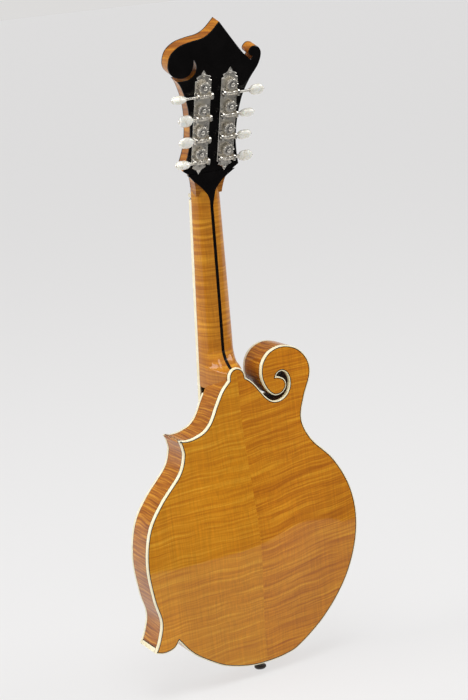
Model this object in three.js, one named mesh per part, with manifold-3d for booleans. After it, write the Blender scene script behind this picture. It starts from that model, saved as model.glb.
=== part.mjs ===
// A carved mandolin with a scroll and two points on its body and a scrolled headstock.
//
// Millimetres. +Z runs up the neck, the back faces +Y, the soundboard faces -Y and the treble
// side is +X. Inside the group "instrument", Z = 0 is the tail edge of the body and Y = 0 is the
// middle of the rim. The group is raised so that the end pin's flat end face is at the origin.

import * as THREE from 'three';
import { mergeVertices } from 'three/addons/utils/BufferGeometryUtils.js';
import Module from 'manifold-3d';

const wasm = await Module();
wasm.setup();

// ---------------------------------------------------------------- driving dimensions

const GAP = 0.3; // clearance between touching pieces

const BODY_DEPTH = 41; // edge of the top to edge of the back
const PLATE_EDGE = 4.5; // plate thickness at its bound edge
const PLATE_THICKNESS = 4; // plate thickness under the arch
const BACK_RISE = 13; // height of the back's arch above its edge
const TOP_RISE = 15; // height of the soundboard's arch above its edge
const BINDING = 2; // binding strip with its black line
const RIB = 2.2; // rib thickness
const POINT_STRIP = 2.4; // ivory strip down the tip of each body point
const CROSSING_Z = 195; // where the legs of the brace cross
const LINING_DEPTH = 5.5;
const LINING_WIDTH = 5;
const ARCH = { centreZ: 140, halfWidth: 107, up: 140, down: 124, taper: 0.24 };

const SCALE_LENGTH = 352.4;
const NUT_Z = 506;
const NUT_LENGTH = 4;
const NECK_ANGLE = 5.7; // fingerboard to body, degrees
const NECK_PLANE_Y = -9.5; // underside of the fingerboard at the nut
const NUT_HALF_WIDTH = 15.2;
const JOINT_HALF_WIDTH = 20; // fingerboard half width at the body joint
const JOINT_FRET = 15;
const LAST_FRET = 24;
const FINGERBOARD = 5.5; // thickness
const FINGERBOARD_BINDING = 1.5;
const LAMINATION_HALF = 1.75; // black strip down the middle of the neck
const ROD_RADIUS = 2.4;
const ROD_CHANNEL = { halfWidth: 2.8, depth: 7.2 };
const ROD_POCKET = 9.5; // depth of the pocket for the truss rod's nut
const POCKET_HALF_WIDTH = 4.5;
const POCKET_TOP = 16; // how far the pocket runs up the headstock
const BUTTON_HALF_WIDTH = 9.75; // tongue of the back that covers the heel
const HEEL_HALF_WIDTH = BUTTON_HALF_WIDTH - 0.4;
const HEEL_Z = 315; // the body's edge under the heel

const HEAD = { z: 520, y: 7.6, tilt: 20, thickness: 15, overlay: 1.5 };
const POST_OFFSET = 15.4; // post to centre line
const POST_FIRST = 37; // lowest post, measured up the headstock
const POST_SPACING = 23.5;
const POST_RADIUS = 2.9;
const POST_REACH = 12; // post height above the front of the headstock
const GEAR_RADIUS = 6.2;
const WORM_RADIUS = 2.4;
const SHAFT_RADIUS = 1.3;
const WORM_DROP = GEAR_RADIUS + WORM_RADIUS + 0.4; // gear centre to shaft
const SHAFT_HEIGHT = 5.4; // shaft above the back of the headstock
const TUNER_PLATE = { thickness: 1.2, inner: 5.7, outer: 23.7, low: 24, high: 113.5, arrow: 11 };

const PIN_REACH = 13; // end face of the end pin to the tail edge
const PIN_SHANK = 3; // radius
const BRIDGE_Z = NUT_Z - SCALE_LENGTH;
const BRIDGE_LENGTH = 116;
const BRIDGE_WIDTH = 10;
const SADDLE_TOP_Y = -53.4;
const WHEEL_RADIUS = 5.5;
const BRIDGE_POST_RADIUS = 1.75;
const BRIDGE_POST_X = 33;

// String radii and places across the nut, saddle and tailpiece, one row for each course.
const COURSES = [
  { name: 'e', radius: 0.14, nut: 11.2, saddle: 19.2, tail: 17 },
  { name: 'a', radius: 0.19, nut: 3.75, saddle: 6.4, tail: 5.8 },
  { name: 'd', radius: 0.33, nut: -3.75, saddle: -6.4, tail: -5.8 },
  { name: 'g', radius: 0.51, nut: -11.2, saddle: -19.2, tail: -17 },
];

// Tuners from the lowest up: how far out each button starts, and how each is turned at rest.
const BUTTON_START = [28.5, 25.5, 27.5, 36.5];
const BUTTON_TURN = { treble: [90, 8, 0, 80], bass: [12, 35, 55, 15] };

// ---------------------------------------------------------------- outlines, as [x, z]

// From the tail round the bass bout and waist, round the scroll and in to its eye.
const BASS_SIDE = [
  [0, 0], [-21, 1.7], [-41, 8], [-75, 32], [-104, 65.5], [-121.3, 102.5], [-127, 139], [-121.2, 174],
  [-104.5, 206.5], [-81, 233], [-71.2, 257], [-77, 281], [-86.5, 303], [-85.5, 320], [-74, 334.5],
  [-56, 340.5], [-40, 336.5], [-30.5, 325.5], [-28.3, 311], [-33, 297.5], [-41.5, 289.3], [-50.8, 290],
  [-56.6, 296.5], [-55.6, 303.5], [-50.3, 307.6], [-45.5, 308.8],
];
// From the inner end of the scroll's slot out to the bass side of the heel.
const SLOT_SIDE = [
  [-45.5, 308.8], [-48, 312.2], [-53.5, 313.4], [-58.8, 309.3], [-60.9, 301.5], [-59.2, 293], [-54, 286.4],
  [-46, 283], [-38, 284.3], [-31.3, 289.8], [-26, 297], [-20.5, 305], [-15, 311],
  [-BUTTON_HALF_WIDTH, HEEL_Z],
];
const BUTTON_EDGE = [
  [-BUTTON_HALF_WIDTH, HEEL_Z], [-8.8, 321], [-5.3, 325.6], [0, 327.4], [5.3, 325.6], [8.8, 321],
  [BUTTON_HALF_WIDTH, HEEL_Z],
];
const CUTAWAY = [
  [BUTTON_HALF_WIDTH, HEEL_Z], [18.7, 306], [27.5, 291.5], [35.3, 277], [44, 268.3], [55.5, 264], [65, 263],
  [74, 264.5],
];
const TREBLE_SIDE = [
  [74, 264.5], [71.5, 256], [71.2, 246], [78.5, 228.5], [102.3, 203], [119, 176.7], [126, 140.5],
  [123.2, 103.6], [118, 78], [122.5, 59], [128.7, 46.2],
];
const LOWER_POINT = [[128.7, 46.2], [120.5, 43.4], [112, 43.8], [105, 46.7], [100.6, 52]];
const TREBLE_TAIL = [[100.6, 52], [85, 32.5], [57.3, 13.1], [37.7, 5.2], [16.5, 0.7], [0, 0]];

// Headstock outline as [x, distance up the headstock], from the lower treble corner.
const HEAD_TREBLE = [
  [31.5, 17.5], [27.7, 32], [25.9, 45], [26.2, 62], [28.5, 80], [32.2, 93.5], [38.2, 108], [43, 115],
];
const HEAD_TREBLE_SLOT = [[43, 115], [31, 115.6], [24, 120.5], [22.4, 128], [25.8, 136]];
const HEAD_BULGE = [
  [25.8, 136], [26.2, 128.5], [29, 121.8], [35, 118.3], [44, 119.2], [51, 124], [54, 132.5], [51.5, 143.5],
  [43, 151], [31, 154.6], [17.5, 157], [9, 162], [0, 172],
];
const HEAD_CREST = [[0, 172], [-25, 141], [-35, 131]];
const HEAD_CURL = [
  [-35, 131], [-38.4, 129], [-39.8, 131.5], [-36, 134], [-35.2, 138.2], [-39.2, 142.2], [-45.5, 141],
  [-49.2, 134], [-46.8, 122.5], [-38.4, 109], [-32, 95], [-28.5, 80], [-26.6, 62], [-26.8, 45], [-28.6, 31],
  [-31.5, 17.5],
];
const HEAD_FLARE = [[-31.5, 17.5], [-24, 12], [-18, 4], [-15.7, -6], [-15.4, -18]];

// ---------------------------------------------------------------- geometry helpers

const radians = THREE.MathUtils.degToRad;
const lerp = THREE.MathUtils.lerp;
const vec = (x, y, z) => new THREE.Vector3(x, y, z);

/** A smooth line through [x, z] points, as Vector2 samples. */
function curve(points, steps = 2) {
  const spline = new THREE.SplineCurve(points.map(([x, z]) => new THREE.Vector2(x, z)));
  return spline.getPoints((points.length - 1) * steps);
}

/** Joins lines end to end, leaving out the point that two neighbours share. */
function chain(...lines) {
  return lines.flatMap((line) => line.slice(0, -1));
}

/** Moves a line to its right by a distance, mitred at each corner. */
function offset(line, distance, closed = true) {
  const count = line.length;
  const normal = (from, to) => new THREE.Vector2(to.y - from.y, from.x - to.x).normalize();
  return line.map((point, i) => {
    const before = closed || i > 0 ? line[(i + count - 1) % count] : null;
    const after = closed || i < count - 1 ? line[(i + 1) % count] : null;
    const first = before ? normal(before, point) : normal(point, after);
    const second = after ? normal(point, after) : first;
    const spread = Math.max(1 + first.dot(second), 0.3);
    return first.clone().add(second).multiplyScalar(distance / spread).add(point);
  });
}

/** A closed strip between two offsets of an open line. */
function strip(line, near, far) {
  return [...offset(line, near, false), ...offset(line, far, false).reverse()];
}

/** Welds a geometry, drops collapsed triangles and turns its faces outward. */
function weld(geometry) {
  const bare = new THREE.BufferGeometry();
  bare.setAttribute('position', geometry.getAttribute('position').clone());
  if (geometry.index) bare.setIndex(geometry.index.clone());
  const merged = mergeVertices(bare, 1e-4);
  const position = merged.getAttribute('position');
  const corner = (i) => new THREE.Vector3().fromBufferAttribute(position, i);
  const kept = [];
  let volume = 0;
  for (let i = 0; i < merged.index.count; i += 3) {
    const [a, b, c] = [0, 1, 2].map((k) => merged.index.getX(i + k));
    if (a === b || b === c || c === a) continue;
    kept.push([a, b, c]);
    volume += corner(a).dot(corner(b).cross(corner(c)));
  }
  const index = volume < 0 ? kept.map(([a, b, c]) => [a, c, b]) : kept;
  merged.setIndex(index.flat());
  return merged;
}

/** A manifold-3d solid from a closed geometry. */
function solid(geometry) {
  const mesh = weld(geometry);
  return new wasm.Manifold(new wasm.Mesh({
    numProp: 3,
    vertProperties: new Float32Array(mesh.getAttribute('position').array),
    triVerts: new Uint32Array(mesh.index.array),
  }));
}

/** A geometry from a manifold-3d solid. */
function skin(manifold) {
  const mesh = manifold.getMesh();
  const geometry = new THREE.BufferGeometry();
  geometry.setAttribute('position', new THREE.BufferAttribute(mesh.vertProperties, 3));
  geometry.setIndex(new THREE.BufferAttribute(mesh.triVerts, 1));
  return geometry;
}

const cut = (geometry, ...tools) => (
  skin(tools.reduce((whole, tool) => whole.subtract(solid(tool)), solid(geometry)))
);
const join = (geometry, ...others) => (
  skin(others.reduce((whole, other) => whole.add(solid(other)), solid(geometry)))
);
const common = (geometry, other) => skin(solid(geometry).intersect(solid(other)));

/** The largest separate piece of a geometry, for a cut that leaves slivers. */
function largest(geometry) {
  const pieces = solid(geometry).decompose();
  return skin(pieces.reduce((best, piece) => (piece.volume() > best.volume() ? piece : best)));
}

/** An [x, z] outline extruded along Y. */
function prism(outline, lowY, highY) {
  const shape = new THREE.Shape(outline);
  const geometry = new THREE.ExtrudeGeometry(shape, { depth: highY - lowY, bevelEnabled: false });
  geometry.rotateX(Math.PI / 2);
  geometry.translate(0, highY, 0);
  return geometry;
}

/** A closed band along Y between an outline and another of equal count inside it. */
function band(outline, inner, lowY, highY) {
  const count = outline.length;
  const section = [[outline, lowY], [outline, highY], [inner, highY], [inner, lowY]];
  const positions = section.flatMap(([line, y]) => line.flatMap((point) => [point.x, y, point.y]));
  const index = [];
  for (let side = 0; side < section.length; side++) {
    const here = side * count;
    const there = ((side + 1) % section.length) * count;
    for (let i = 0; i < count; i++) {
      const next = (i + 1) % count;
      index.push(here + i, here + next, there + next, here + i, there + next, there + i);
    }
  }
  const geometry = new THREE.BufferGeometry();
  geometry.setAttribute('position', new THREE.Float32BufferAttribute(positions, 3));
  geometry.setIndex(index);
  return geometry;
}

/** An [x, y] outline extruded along Z. */
function prismZ(outline, lowZ, highZ) {
  const shape = new THREE.Shape(outline.map(([x, y]) => new THREE.Vector2(x, y)));
  const geometry = new THREE.ExtrudeGeometry(shape, { depth: highZ - lowZ, bevelEnabled: false });
  geometry.translate(0, 0, lowZ);
  return geometry;
}

/** A box from its lowest to its highest corner. */
function box(low, high) {
  const geometry = new THREE.BoxGeometry(...high.map((value, i) => value - low[i]));
  geometry.translate(...high.map((value, i) => (value + low[i]) / 2));
  return geometry;
}

/** A body through rings of equal counts, capped at both ends; rings may be any flat outline. */
function loft(rings, outline = rings[0].map((_, i) => {
  const angle = (i / rings[0].length) * 2 * Math.PI;
  return new THREE.Vector2(Math.cos(angle), Math.sin(angle));
})) {
  const count = rings[0].length;
  const last = (rings.length - 1) * count;
  const index = [];
  for (let r = 0; r < rings.length - 1; r++) {
    for (let i = 0; i < count; i++) {
      const a = r * count + i;
      const b = r * count + ((i + 1) % count);
      index.push(a, b, b + count, a, b + count, a + count);
    }
  }
  const clockwise = THREE.ShapeUtils.isClockWise(outline);
  for (const [a, b, c] of THREE.ShapeUtils.triangulateShape([...outline], [])) {
    const [p, q] = clockwise ? [c, b] : [b, c];
    index.push(...(clockwise ? [a, b, c] : [a, q, p]));
    index.push(...(clockwise ? [last + a, last + p, last + q] : [last + a, last + b, last + c]));
  }
  const geometry = new THREE.BufferGeometry();
  const flat = rings.flat().flatMap((point) => point.toArray());
  geometry.setAttribute('position', new THREE.Float32BufferAttribute(flat, 3));
  geometry.setIndex(index);
  return geometry;
}

/** A [radius, height] profile turned about an axis: 'x', 'y' or 'z'. */
function turned(profile, axis, segments = 12) {
  const points = profile.map(([r, h]) => new THREE.Vector2(r, h));
  const geometry = new THREE.LatheGeometry(points, segments);
  if (axis === 'x') geometry.rotateZ(-Math.PI / 2);
  if (axis === 'z') geometry.rotateX(Math.PI / 2);
  return weld(geometry);
}

/** A plain rod along an axis between two places on it. */
function rod(radius, low, high, axis, segments = 12) {
  return turned([[0, low], [radius, low], [radius, high], [0, high]], axis, segments);
}

/** An oval spindle along X: stations of [x, half width, half thickness], turned by an angle. */
function spindle(stations, turn, sides = 8) {
  const rings = stations.map(([x, wide, thin]) => Array.from({ length: sides }, (_, i) => {
    const angle = ((i + 0.5) / sides) * 2 * Math.PI;
    const point = vec(0, thin * Math.sin(angle), wide * Math.cos(angle));
    return point.applyAxisAngle(vec(1, 0, 0), radians(turn)).add(vec(x, 0, 0));
  }));
  return loft(rings);
}

/** A round string through points. */
function stringTube(points, radius, sides = 6) {
  const rings = points.map((point, i) => {
    const before = points[Math.max(i - 1, 0)];
    const after = points[Math.min(i + 1, points.length - 1)];
    const along = after.clone().sub(before).normalize();
    const across = vec(1, 0, 0).cross(along).normalize();
    const side = along.clone().cross(across);
    return Array.from({ length: sides }, (_, k) => {
      const angle = (k / sides) * 2 * Math.PI;
      return point.clone().addScaledVector(across, radius * Math.cos(angle))
        .addScaledVector(side, radius * Math.sin(angle));
    });
  });
  return loft(rings);
}

const mirrored = (geometry) => weld(geometry.clone().scale(-1, 1, 1));

// ---------------------------------------------------------------- materials and tree

const finish = (color, roughness, metalness = 0) => (
  new THREE.MeshStandardMaterial({ color, roughness, metalness })
);
const maple = finish(0xb9741c, 0.25);
const spruce = finish(0xc98a3c, 0.3);
const innerWood = finish(0xd9b98a, 0.8);
const ivory = finish(0xeee6c8, 0.35);
const ebony = finish(0x17130f, 0.4);
const gloss = finish(0x0c0b0b, 0.15);
const nickel = finish(0xc9c4b8, 0.25, 1);
const steel = finish(0xb8b6b0, 0.3, 1);
const bronze = finish(0xb98f55, 0.35, 1);
const pearl = finish(0xf2efe4, 0.25);
const bone = finish(0xe9e2cc, 0.5);

const mandolin = new THREE.Group();
const instrument = new THREE.Group();
instrument.position.z = PIN_REACH;
mandolin.add(instrument);

const neck = new THREE.Group();
neck.position.set(0, NECK_PLANE_Y, NUT_Z);
neck.rotation.x = -radians(NECK_ANGLE);
neck.updateMatrix();
instrument.add(neck);

const head = new THREE.Group();
head.position.set(0, HEAD.y, HEAD.z);
head.rotation.x = -radians(HEAD.tilt);
head.updateMatrix();
instrument.add(head);

function add(group, name, geometry, material) {
  const mesh = new THREE.Mesh(weld(geometry), material);
  mesh.name = name;
  group.add(mesh);
}

// ---------------------------------------------------------------- body

const RIM_HALF = BODY_DEPTH / 2 - PLATE_EDGE;
const bassSide = curve(BASS_SIDE);
const slotSide = curve(SLOT_SIDE);
const cutaway = curve(CUTAWAY);
const trebleSide = curve(TREBLE_SIDE);
const lowerPoint = curve(LOWER_POINT);
const trebleTail = curve(TREBLE_TAIL);
const plateOutline = chain(
  bassSide, slotSide, curve(BUTTON_EDGE), cutaway, trebleSide, lowerPoint, trebleTail,
);
const topOutline = chain(
  bassSide, slotSide, curve([SLOT_SIDE.at(-1), CUTAWAY[0]], 1), cutaway, trebleSide, lowerPoint, trebleTail,
);

// Each rib follows part of the outline. The scroll's slot and the underside of the lower point
// have no rib: the blocks behind them are the visible faces there.
const ribLines = {
  rib_bass: [...trebleTail.slice(0, -1), ...bassSide],
  rib_cutaway: cutaway.slice(0, -1),
  rib_treble: trebleSide.slice(1, -1),
};
// The outlines that meet at the upper and lower body points.
const pointCorners = [[cutaway, trebleSide], [trebleSide, lowerPoint]];

/** How far a place is from the middle of the arch: 0 at the crown, 1 where the arch ends. */
function archReach(x, z) {
  const rise = (z - ARCH.centreZ) / (z > ARCH.centreZ ? ARCH.up : ARCH.down);
  const width = ARCH.halfWidth * (1 - ARCH.taper * Math.max(rise, 0));
  return Math.min(Math.hypot(x / width, rise), 1);
}

/** Distance from the middle of the rim to the outside of an arched plate. */
function archHeight(x, z, rise) {
  return BODY_DEPTH / 2 + (rise * (1 + Math.cos(Math.PI * archReach(x, z)))) / 2;
}

/** An arched plate: its flat bound edge, then egg-shaped rings that climb to the crown. */
function carvedPlate(outline, rise, side) {
  const reaches = [1, 0.78, 0.55, 0.28];
  const count = 36;
  const eggs = reaches.map((reach) => Array.from({ length: count }, (_, i) => {
    const angle = (i / count) * 2 * Math.PI;
    const up = Math.cos(angle) * reach;
    const width = ARCH.halfWidth * (1 - ARCH.taper * Math.max(up, 0));
    const z = ARCH.centreZ + up * (up > 0 ? ARCH.up : ARCH.down);
    return new THREE.Vector2(width * Math.sin(angle) * reach, z);
  }));
  const flat = [...outline, ...eggs.flat(), new THREE.Vector2(0, ARCH.centreZ)];
  const outer = flat.map((p, i) => (i < outline.length ? BODY_DEPTH / 2 : archHeight(p.x, p.y, rise)));
  const inner = outer.map((y, i) => (i < outline.length + count ? RIM_HALF + GAP : y - PLATE_THICKNESS));
  const faces = THREE.ShapeUtils.triangulateShape([...outline], [[...eggs[0]]]);
  eggs.slice(0, -1).forEach((_, ring) => {
    const base = outline.length + ring * count;
    for (let i = 0; i < count; i++) {
      const next = (i + 1) % count;
      faces.push([base + i, base + next, base + count + next]);
      faces.push([base + i, base + count + next, base + count + i]);
    }
  });
  const centre = flat.length - 1;
  const lastEgg = centre - count;
  for (let i = 0; i < count; i++) faces.push([lastEgg + i, lastEgg + ((i + 1) % count), centre]);
  // Every face is turned the same way before the two surfaces and the edge are joined.
  const turnedFaces = faces.map(([a, b, c]) => {
    const area = flat[b].clone().sub(flat[a]).cross(flat[c].clone().sub(flat[a]));
    return area > 0 ? [a, b, c] : [a, c, b];
  });
  const total = flat.length;
  const index = turnedFaces.flatMap(([a, b, c]) => [a, b, c, total + a, total + c, total + b]);
  outline.forEach((_, i) => {
    const next = (i + 1) % outline.length;
    index.push(i, next, total + next, i, total + next, total + i);
  });
  const geometry = new THREE.BufferGeometry();
  const heights = [...outer, ...inner];
  const positions = heights.flatMap((y, i) => [flat[i % total].x, side * y, flat[i % total].y]);
  geometry.setAttribute('position', new THREE.Float32BufferAttribute(positions, 3));
  geometry.setIndex(index);
  return geometry;
}

function addPlates() {
  const back = carvedPlate(offset(plateOutline, BINDING + GAP), BACK_RISE, 1);
  const seam = GAP / 2;
  add(instrument, 'back_plate_treble', common(back, box([seam, 0, -10], [200, 60, 400])), maple);
  add(instrument, 'back_plate_bass', common(back, box([-200, 0, -10], [-seam, 60, 400])), maple);
  const top = carvedPlate(offset(topOutline, BINDING + GAP), TOP_RISE, -1);
  add(instrument, 'top_plate', cut(top, ...[1, -1].flatMap(soundHole)), spruce);
}

/** One f-shaped sound hole as cutting tools: a tapered slot with a round at each end. */
function soundHole(side) {
  const line = curve([[52, 212], [45, 203], [51, 184], [62, 160], [71, 138], [70, 122], [62, 115]], 1);
  const depth = [-60, -10];
  const slot = line.map((point, i) => {
    const width = lerp(1.6, 4, Math.sin((Math.PI * i) / (line.length - 1)));
    const ahead = line[Math.min(i + 1, line.length - 1)].clone().sub(line[Math.max(i - 1, 0)]).normalize();
    return [point, new THREE.Vector2(ahead.y, -ahead.x).multiplyScalar(width)];
  });
  const edge = [
    ...slot.map(([point, across]) => point.clone().add(across)),
    ...slot.map(([point, across]) => point.clone().sub(across)).reverse(),
  ];
  const ends = [[54, 208, 4.4], [61, 119, 5.4]].map(([x, z, r]) => {
    const round = rod(r, depth[0], depth[1], 'y', 10);
    round.translate(x, 0, z);
    return round;
  });
  const tools = [prism(edge, ...depth), ...ends];
  return side > 0 ? tools : tools.map(mirrored);
}

/** The very tip of a body point: a small wedge between the two outlines that meet there. */
function tipWedge(arriving, leaving, grow = 0) {
  const tip = leaving[0];
  const reach = (toward) => toward.clone().sub(tip).setLength(POINT_STRIP).add(tip);
  return offset([reach(arriving.at(-2)), tip, reach(leaving[1])], -grow);
}

/** Cutting tools as deep as the rim: the ribs and point strips with their clearance. */
function rimTools() {
  const ribs = Object.values(ribLines).map((line) => strip(line, -1, RIB + GAP));
  const tips = pointCorners.map(([arriving, leaving]) => tipWedge(arriving, leaving, GAP));
  return [...ribs, ...tips].map((shape) => prism(shape, -RIM_HALF - 1, RIM_HALF + 1));
}

function addRibs() {
  const depth = [-RIM_HALF, RIM_HALF];
  const tools = rimTools();
  const [, cutawayTool, , ...tips] = tools;
  const pinHole = rod(PIN_SHANK + 2 * GAP, -5, 10, 'z');
  const rib = (name) => prism(strip(ribLines[name], 0, RIB), ...depth);
  add(instrument, 'rib_bass', cut(rib('rib_bass'), pinHole), maple);
  add(instrument, 'rib_cutaway', cut(rib('rib_cutaway'), ...tips), maple);
  add(instrument, 'rib_treble', cut(rib('rib_treble'), cutawayTool, ...tips), maple);
}

/** The part of the rim's inside, clear of the ribs, that a block fills. */
function block(region) {
  const shape = region.map(([x, z]) => new THREE.Vector2(x, z));
  const whole = prism(topOutline, -RIM_HALF, RIM_HALF);
  return largest(cut(common(whole, prism(shape, -RIM_HALF - 1, RIM_HALF + 1)), ...rimTools()));
}

function addBlocks() {
  // The head block carries the neck and runs on into the scroll; its slot face has no rib.
  const headRegion = [[-100, 285], [-58, 262], [33, 262], [33, 310], [9, 330], [-100, 345]];
  add(instrument, 'head_block', block(headRegion), innerWood);
  const upperRegion = [[56, 236], [90, 236], [90, 270], [56, 270]];
  add(instrument, 'upper_point_block', block(upperRegion), innerWood);
  const lowerRegion = [[97, 40], [140, 30], [140, 82], [118.5, 82]];
  add(instrument, 'lower_point_block', block(lowerRegion), innerWood);
  const tailRegion = [[-32, -5], [32, -5], [32, 22], [-32, 22]];
  const hole = rod(PIN_SHANK + GAP, -5, 30, 'z');
  const notches = [-1, 1].map((side) => lining(side, GAP));
  add(instrument, 'tail_block', cut(block(tailRegion), hole, ...notches), innerWood);
}

/** The strip that widens a rib's edge to carry a plate, from waist to waist round the tail. */
function lining(side, grow = 0) {
  const bass = bassSide.filter((point, i) => i < 20).reverse();
  const tail = trebleTail.slice(1, -1).reverse();
  const treble = trebleSide.filter((point) => point.y > 88 && point.y < 236).reverse();
  const route = [...bass, ...tail, ...treble];
  const near = -(RIB + GAP) + grow;
  const far = -(RIB + GAP + LINING_WIDTH) - grow;
  const low = RIM_HALF - LINING_DEPTH - grow;
  const high = RIM_HALF + grow;
  return side > 0 ? prism(strip(route, near, far), low, high) : prism(strip(route, near, far), -high, -low);
}

/** One leg of the X-shaped brace under the soundboard, crossing the centre line at CROSSING_Z. */
function brace(slant, lowZ, highZ) {
  const half = 3;
  const height = 10;
  const steps = 8;
  const rings = Array.from({ length: steps + 1 }, (_, i) => {
    const z = lerp(lowZ, highZ, i / steps);
    const middle = slant * (z - CROSSING_Z);
    const tall = height * (0.35 + 0.65 * Math.sin((Math.PI * i) / steps));
    const reach = [middle - half, middle + half].map((side) => archHeight(side, z, TOP_RISE));
    const roof = -Math.min(...reach) + PLATE_THICKNESS + 1;
    return [vec(middle - half, roof, z), vec(middle + half, roof, z),
      vec(middle + half, roof + tall, z), vec(middle - half, roof + tall, z)];
  });
  return loft(rings);
}

function addInside() {
  add(instrument, 'back_lining', lining(1), innerWood);
  add(instrument, 'top_lining', lining(-1), innerWood);
  const braces = [1, -1].map((side) => brace(side * 0.45, 75, 235));
  add(instrument, 'x_brace', join(...braces), innerWood);
}

function addBinding() {
  const inner = BODY_DEPTH / 2 - PLATE_EDGE + GAP;
  const outer = BODY_DEPTH / 2;
  add(instrument, 'back_binding', band(plateOutline, offset(plateOutline, BINDING), inner, outer), ivory);
  add(instrument, 'top_binding', band(topOutline, offset(topOutline, BINDING), -outer, -inner), ivory);
  const [upper, lower] = pointCorners.map((lines) => prism(tipWedge(...lines), -RIM_HALF, RIM_HALF));
  add(instrument, 'upper_point_strip', upper, ivory);
  add(instrument, 'lower_point_strip', lower, ivory);
}

// ---------------------------------------------------------------- neck and fingerboard

const neckLength = (z) => (z - NUT_Z) / Math.cos(radians(NECK_ANGLE));
const fretPlace = (fret) => -SCALE_LENGTH * (1 - 2 ** (-fret / 12));
const fingerboardEnd = fretPlace(LAST_FRET) - 5;
const halfWidthAt = (along) => lerp(NUT_HALF_WIDTH, JOINT_HALF_WIDTH, along / fretPlace(JOINT_FRET));
const mirrorLine = (line) => line.map(([x, z]) => [-x, z]);

// Stations down the neck: place on Z, depth below the fingerboard, and how far the round
// back has turned into the heel, from 0 to 1.
const NECK_STATIONS = [
  [520, 14.6, 0], [506, 15.6, 0], [430, 18.2, 0], [372, 19.6, 0], [350, 20, 0.1], [342, 21, 0.3],
  [335, 25.5, 0.6], [329, 33, 0.9], [326, 43, 1], [300, 43, 1], [262, 43, 1],
];

/** Half of a neck section, from the middle of the fingerboard side round to the middle of the back. */
function neckHalfSection(width, depth, heel) {
  const steps = 8;
  const round = Array.from({ length: steps + 1 }, (_, i) => {
    const angle = ((i / steps) * Math.PI) / 2;
    const sideWall = 1.5; // the flat side before the round back begins
    const oval = new THREE.Vector2(width * Math.cos(angle), sideWall + (depth - sideWall) * Math.sin(angle));
    const down = Math.min(i / (steps - 2), 1);
    const across = lerp(HEEL_HALF_WIDTH, LAMINATION_HALF, Math.max(i - (steps - 2), 0) / 2);
    const cheek = new THREE.Vector2(down < 1 ? lerp(width, HEEL_HALF_WIDTH, down) : across, depth * down);
    return oval.lerp(cheek, heel);
  });
  const seam = LAMINATION_HALF + GAP / 2;
  round[steps].x = seam;
  const channel = ROD_CHANNEL;
  return [
    new THREE.Vector2(channel.halfWidth, 0), ...round,
    new THREE.Vector2(seam, channel.depth), new THREE.Vector2(channel.halfWidth, channel.depth),
  ];
}

/** A body through sections of the neck; section(width, depth, heel) gives each outline. */
function neckBody(section) {
  const outlines = NECK_STATIONS.map(([z, depth, heel]) => section(halfWidthAt(neckLength(z)), depth, heel));
  const rings = NECK_STATIONS.map(([z], i) => outlines[i].map((p) => vec(p.x, p.y, neckLength(z))));
  const geometry = loft(rings, outlines[0]);
  geometry.applyMatrix4(neck.matrix);
  return geometry;
}

const inHead = (geometry) => {
  geometry.applyMatrix4(head.matrix);
  return geometry;
};
const postHeights = Array.from({ length: 4 }, (_, i) => POST_FIRST + i * POST_SPACING);

/** The holes that the posts pass through, in the headstock's own frame. */
function postHoles(lowY, highY) {
  return [1, -1].flatMap((side) => postHeights.map((height) => {
    const hole = rod(POST_RADIUS + GAP, lowY, highY, 'y', 10);
    hole.translate(side * POST_OFFSET, 0, height);
    return hole;
  }));
}

const headTop = [HEAD_TREBLE, HEAD_TREBLE_SLOT, HEAD_BULGE, HEAD_CREST, HEAD_CURL];
const headCoreOutline = chain(...[
  ...headTop, HEAD_FLARE, mirrorLine(HEAD_FLARE).reverse(),
].map((line) => curve(line, 1)));

function addNeck() {
  // What the wood of the neck is cut back from: the body's outline and the edge of its back, the
  // soundboard under the end of the fingerboard, and the face of the headstock.
  const { overlay, thickness } = HEAD;
  const extensionLift = 2.4;
  const bodyTools = [
    prism(offset(topOutline, -GAP), -BODY_DEPTH / 2 - 1, RIM_HALF + GAP),
    prism(offset(plateOutline, -GAP), RIM_HALF, BODY_DEPTH),
    box([-60, -BODY_DEPTH / 2 - extensionLift, 250], [60, BODY_DEPTH, 300]),
    inHead(box([-60, -60, -60], [60, -thickness + overlay + GAP, 200])),
  ];
  const nutTool = box([-30, -30, -40], [30, 0, NUT_LENGTH + GAP]);
  nutTool.applyMatrix4(neck.matrix);
  const core = cut(
    prism(headCoreOutline, -thickness + overlay + GAP, -overlay - GAP), ...postHoles(-thickness, 1),
    box([-POCKET_HALF_WIDTH, -thickness, -30], [POCKET_HALF_WIDTH, -thickness + ROD_POCKET, POCKET_TOP]),
  );
  const headCore = cut(inHead(core), nutTool);
  const half = neckBody(neckHalfSection);
  const edge = LAMINATION_HALF + GAP / 2;
  const trebleHead = common(headCore, box([edge, -80, 400], [100, 100, 800]));
  const bassHead = common(headCore, box([-100, -80, 400], [-edge, 100, 800]));
  add(instrument, 'neck_treble', largest(join(cut(half, ...bodyTools), trebleHead)), maple);
  add(instrument, 'neck_bass', largest(join(cut(mirrored(half), ...bodyTools), bassHead)), maple);
  const stripHalf = LAMINATION_HALF - GAP / 2;
  const stripTop = ROD_CHANNEL.depth + 0.1;
  const stripSection = (width, depth) => [
    new THREE.Vector2(-stripHalf, stripTop), new THREE.Vector2(stripHalf, stripTop),
    new THREE.Vector2(stripHalf, depth), new THREE.Vector2(-stripHalf, depth),
  ];
  const middle = common(headCore, box([-stripHalf, -80, 400], [stripHalf, 100, 800]));
  const lamination = join(cut(neckBody(stripSection), ...bodyTools), middle);
  add(instrument, 'neck_lamination', largest(lamination), ebony);
}

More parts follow.
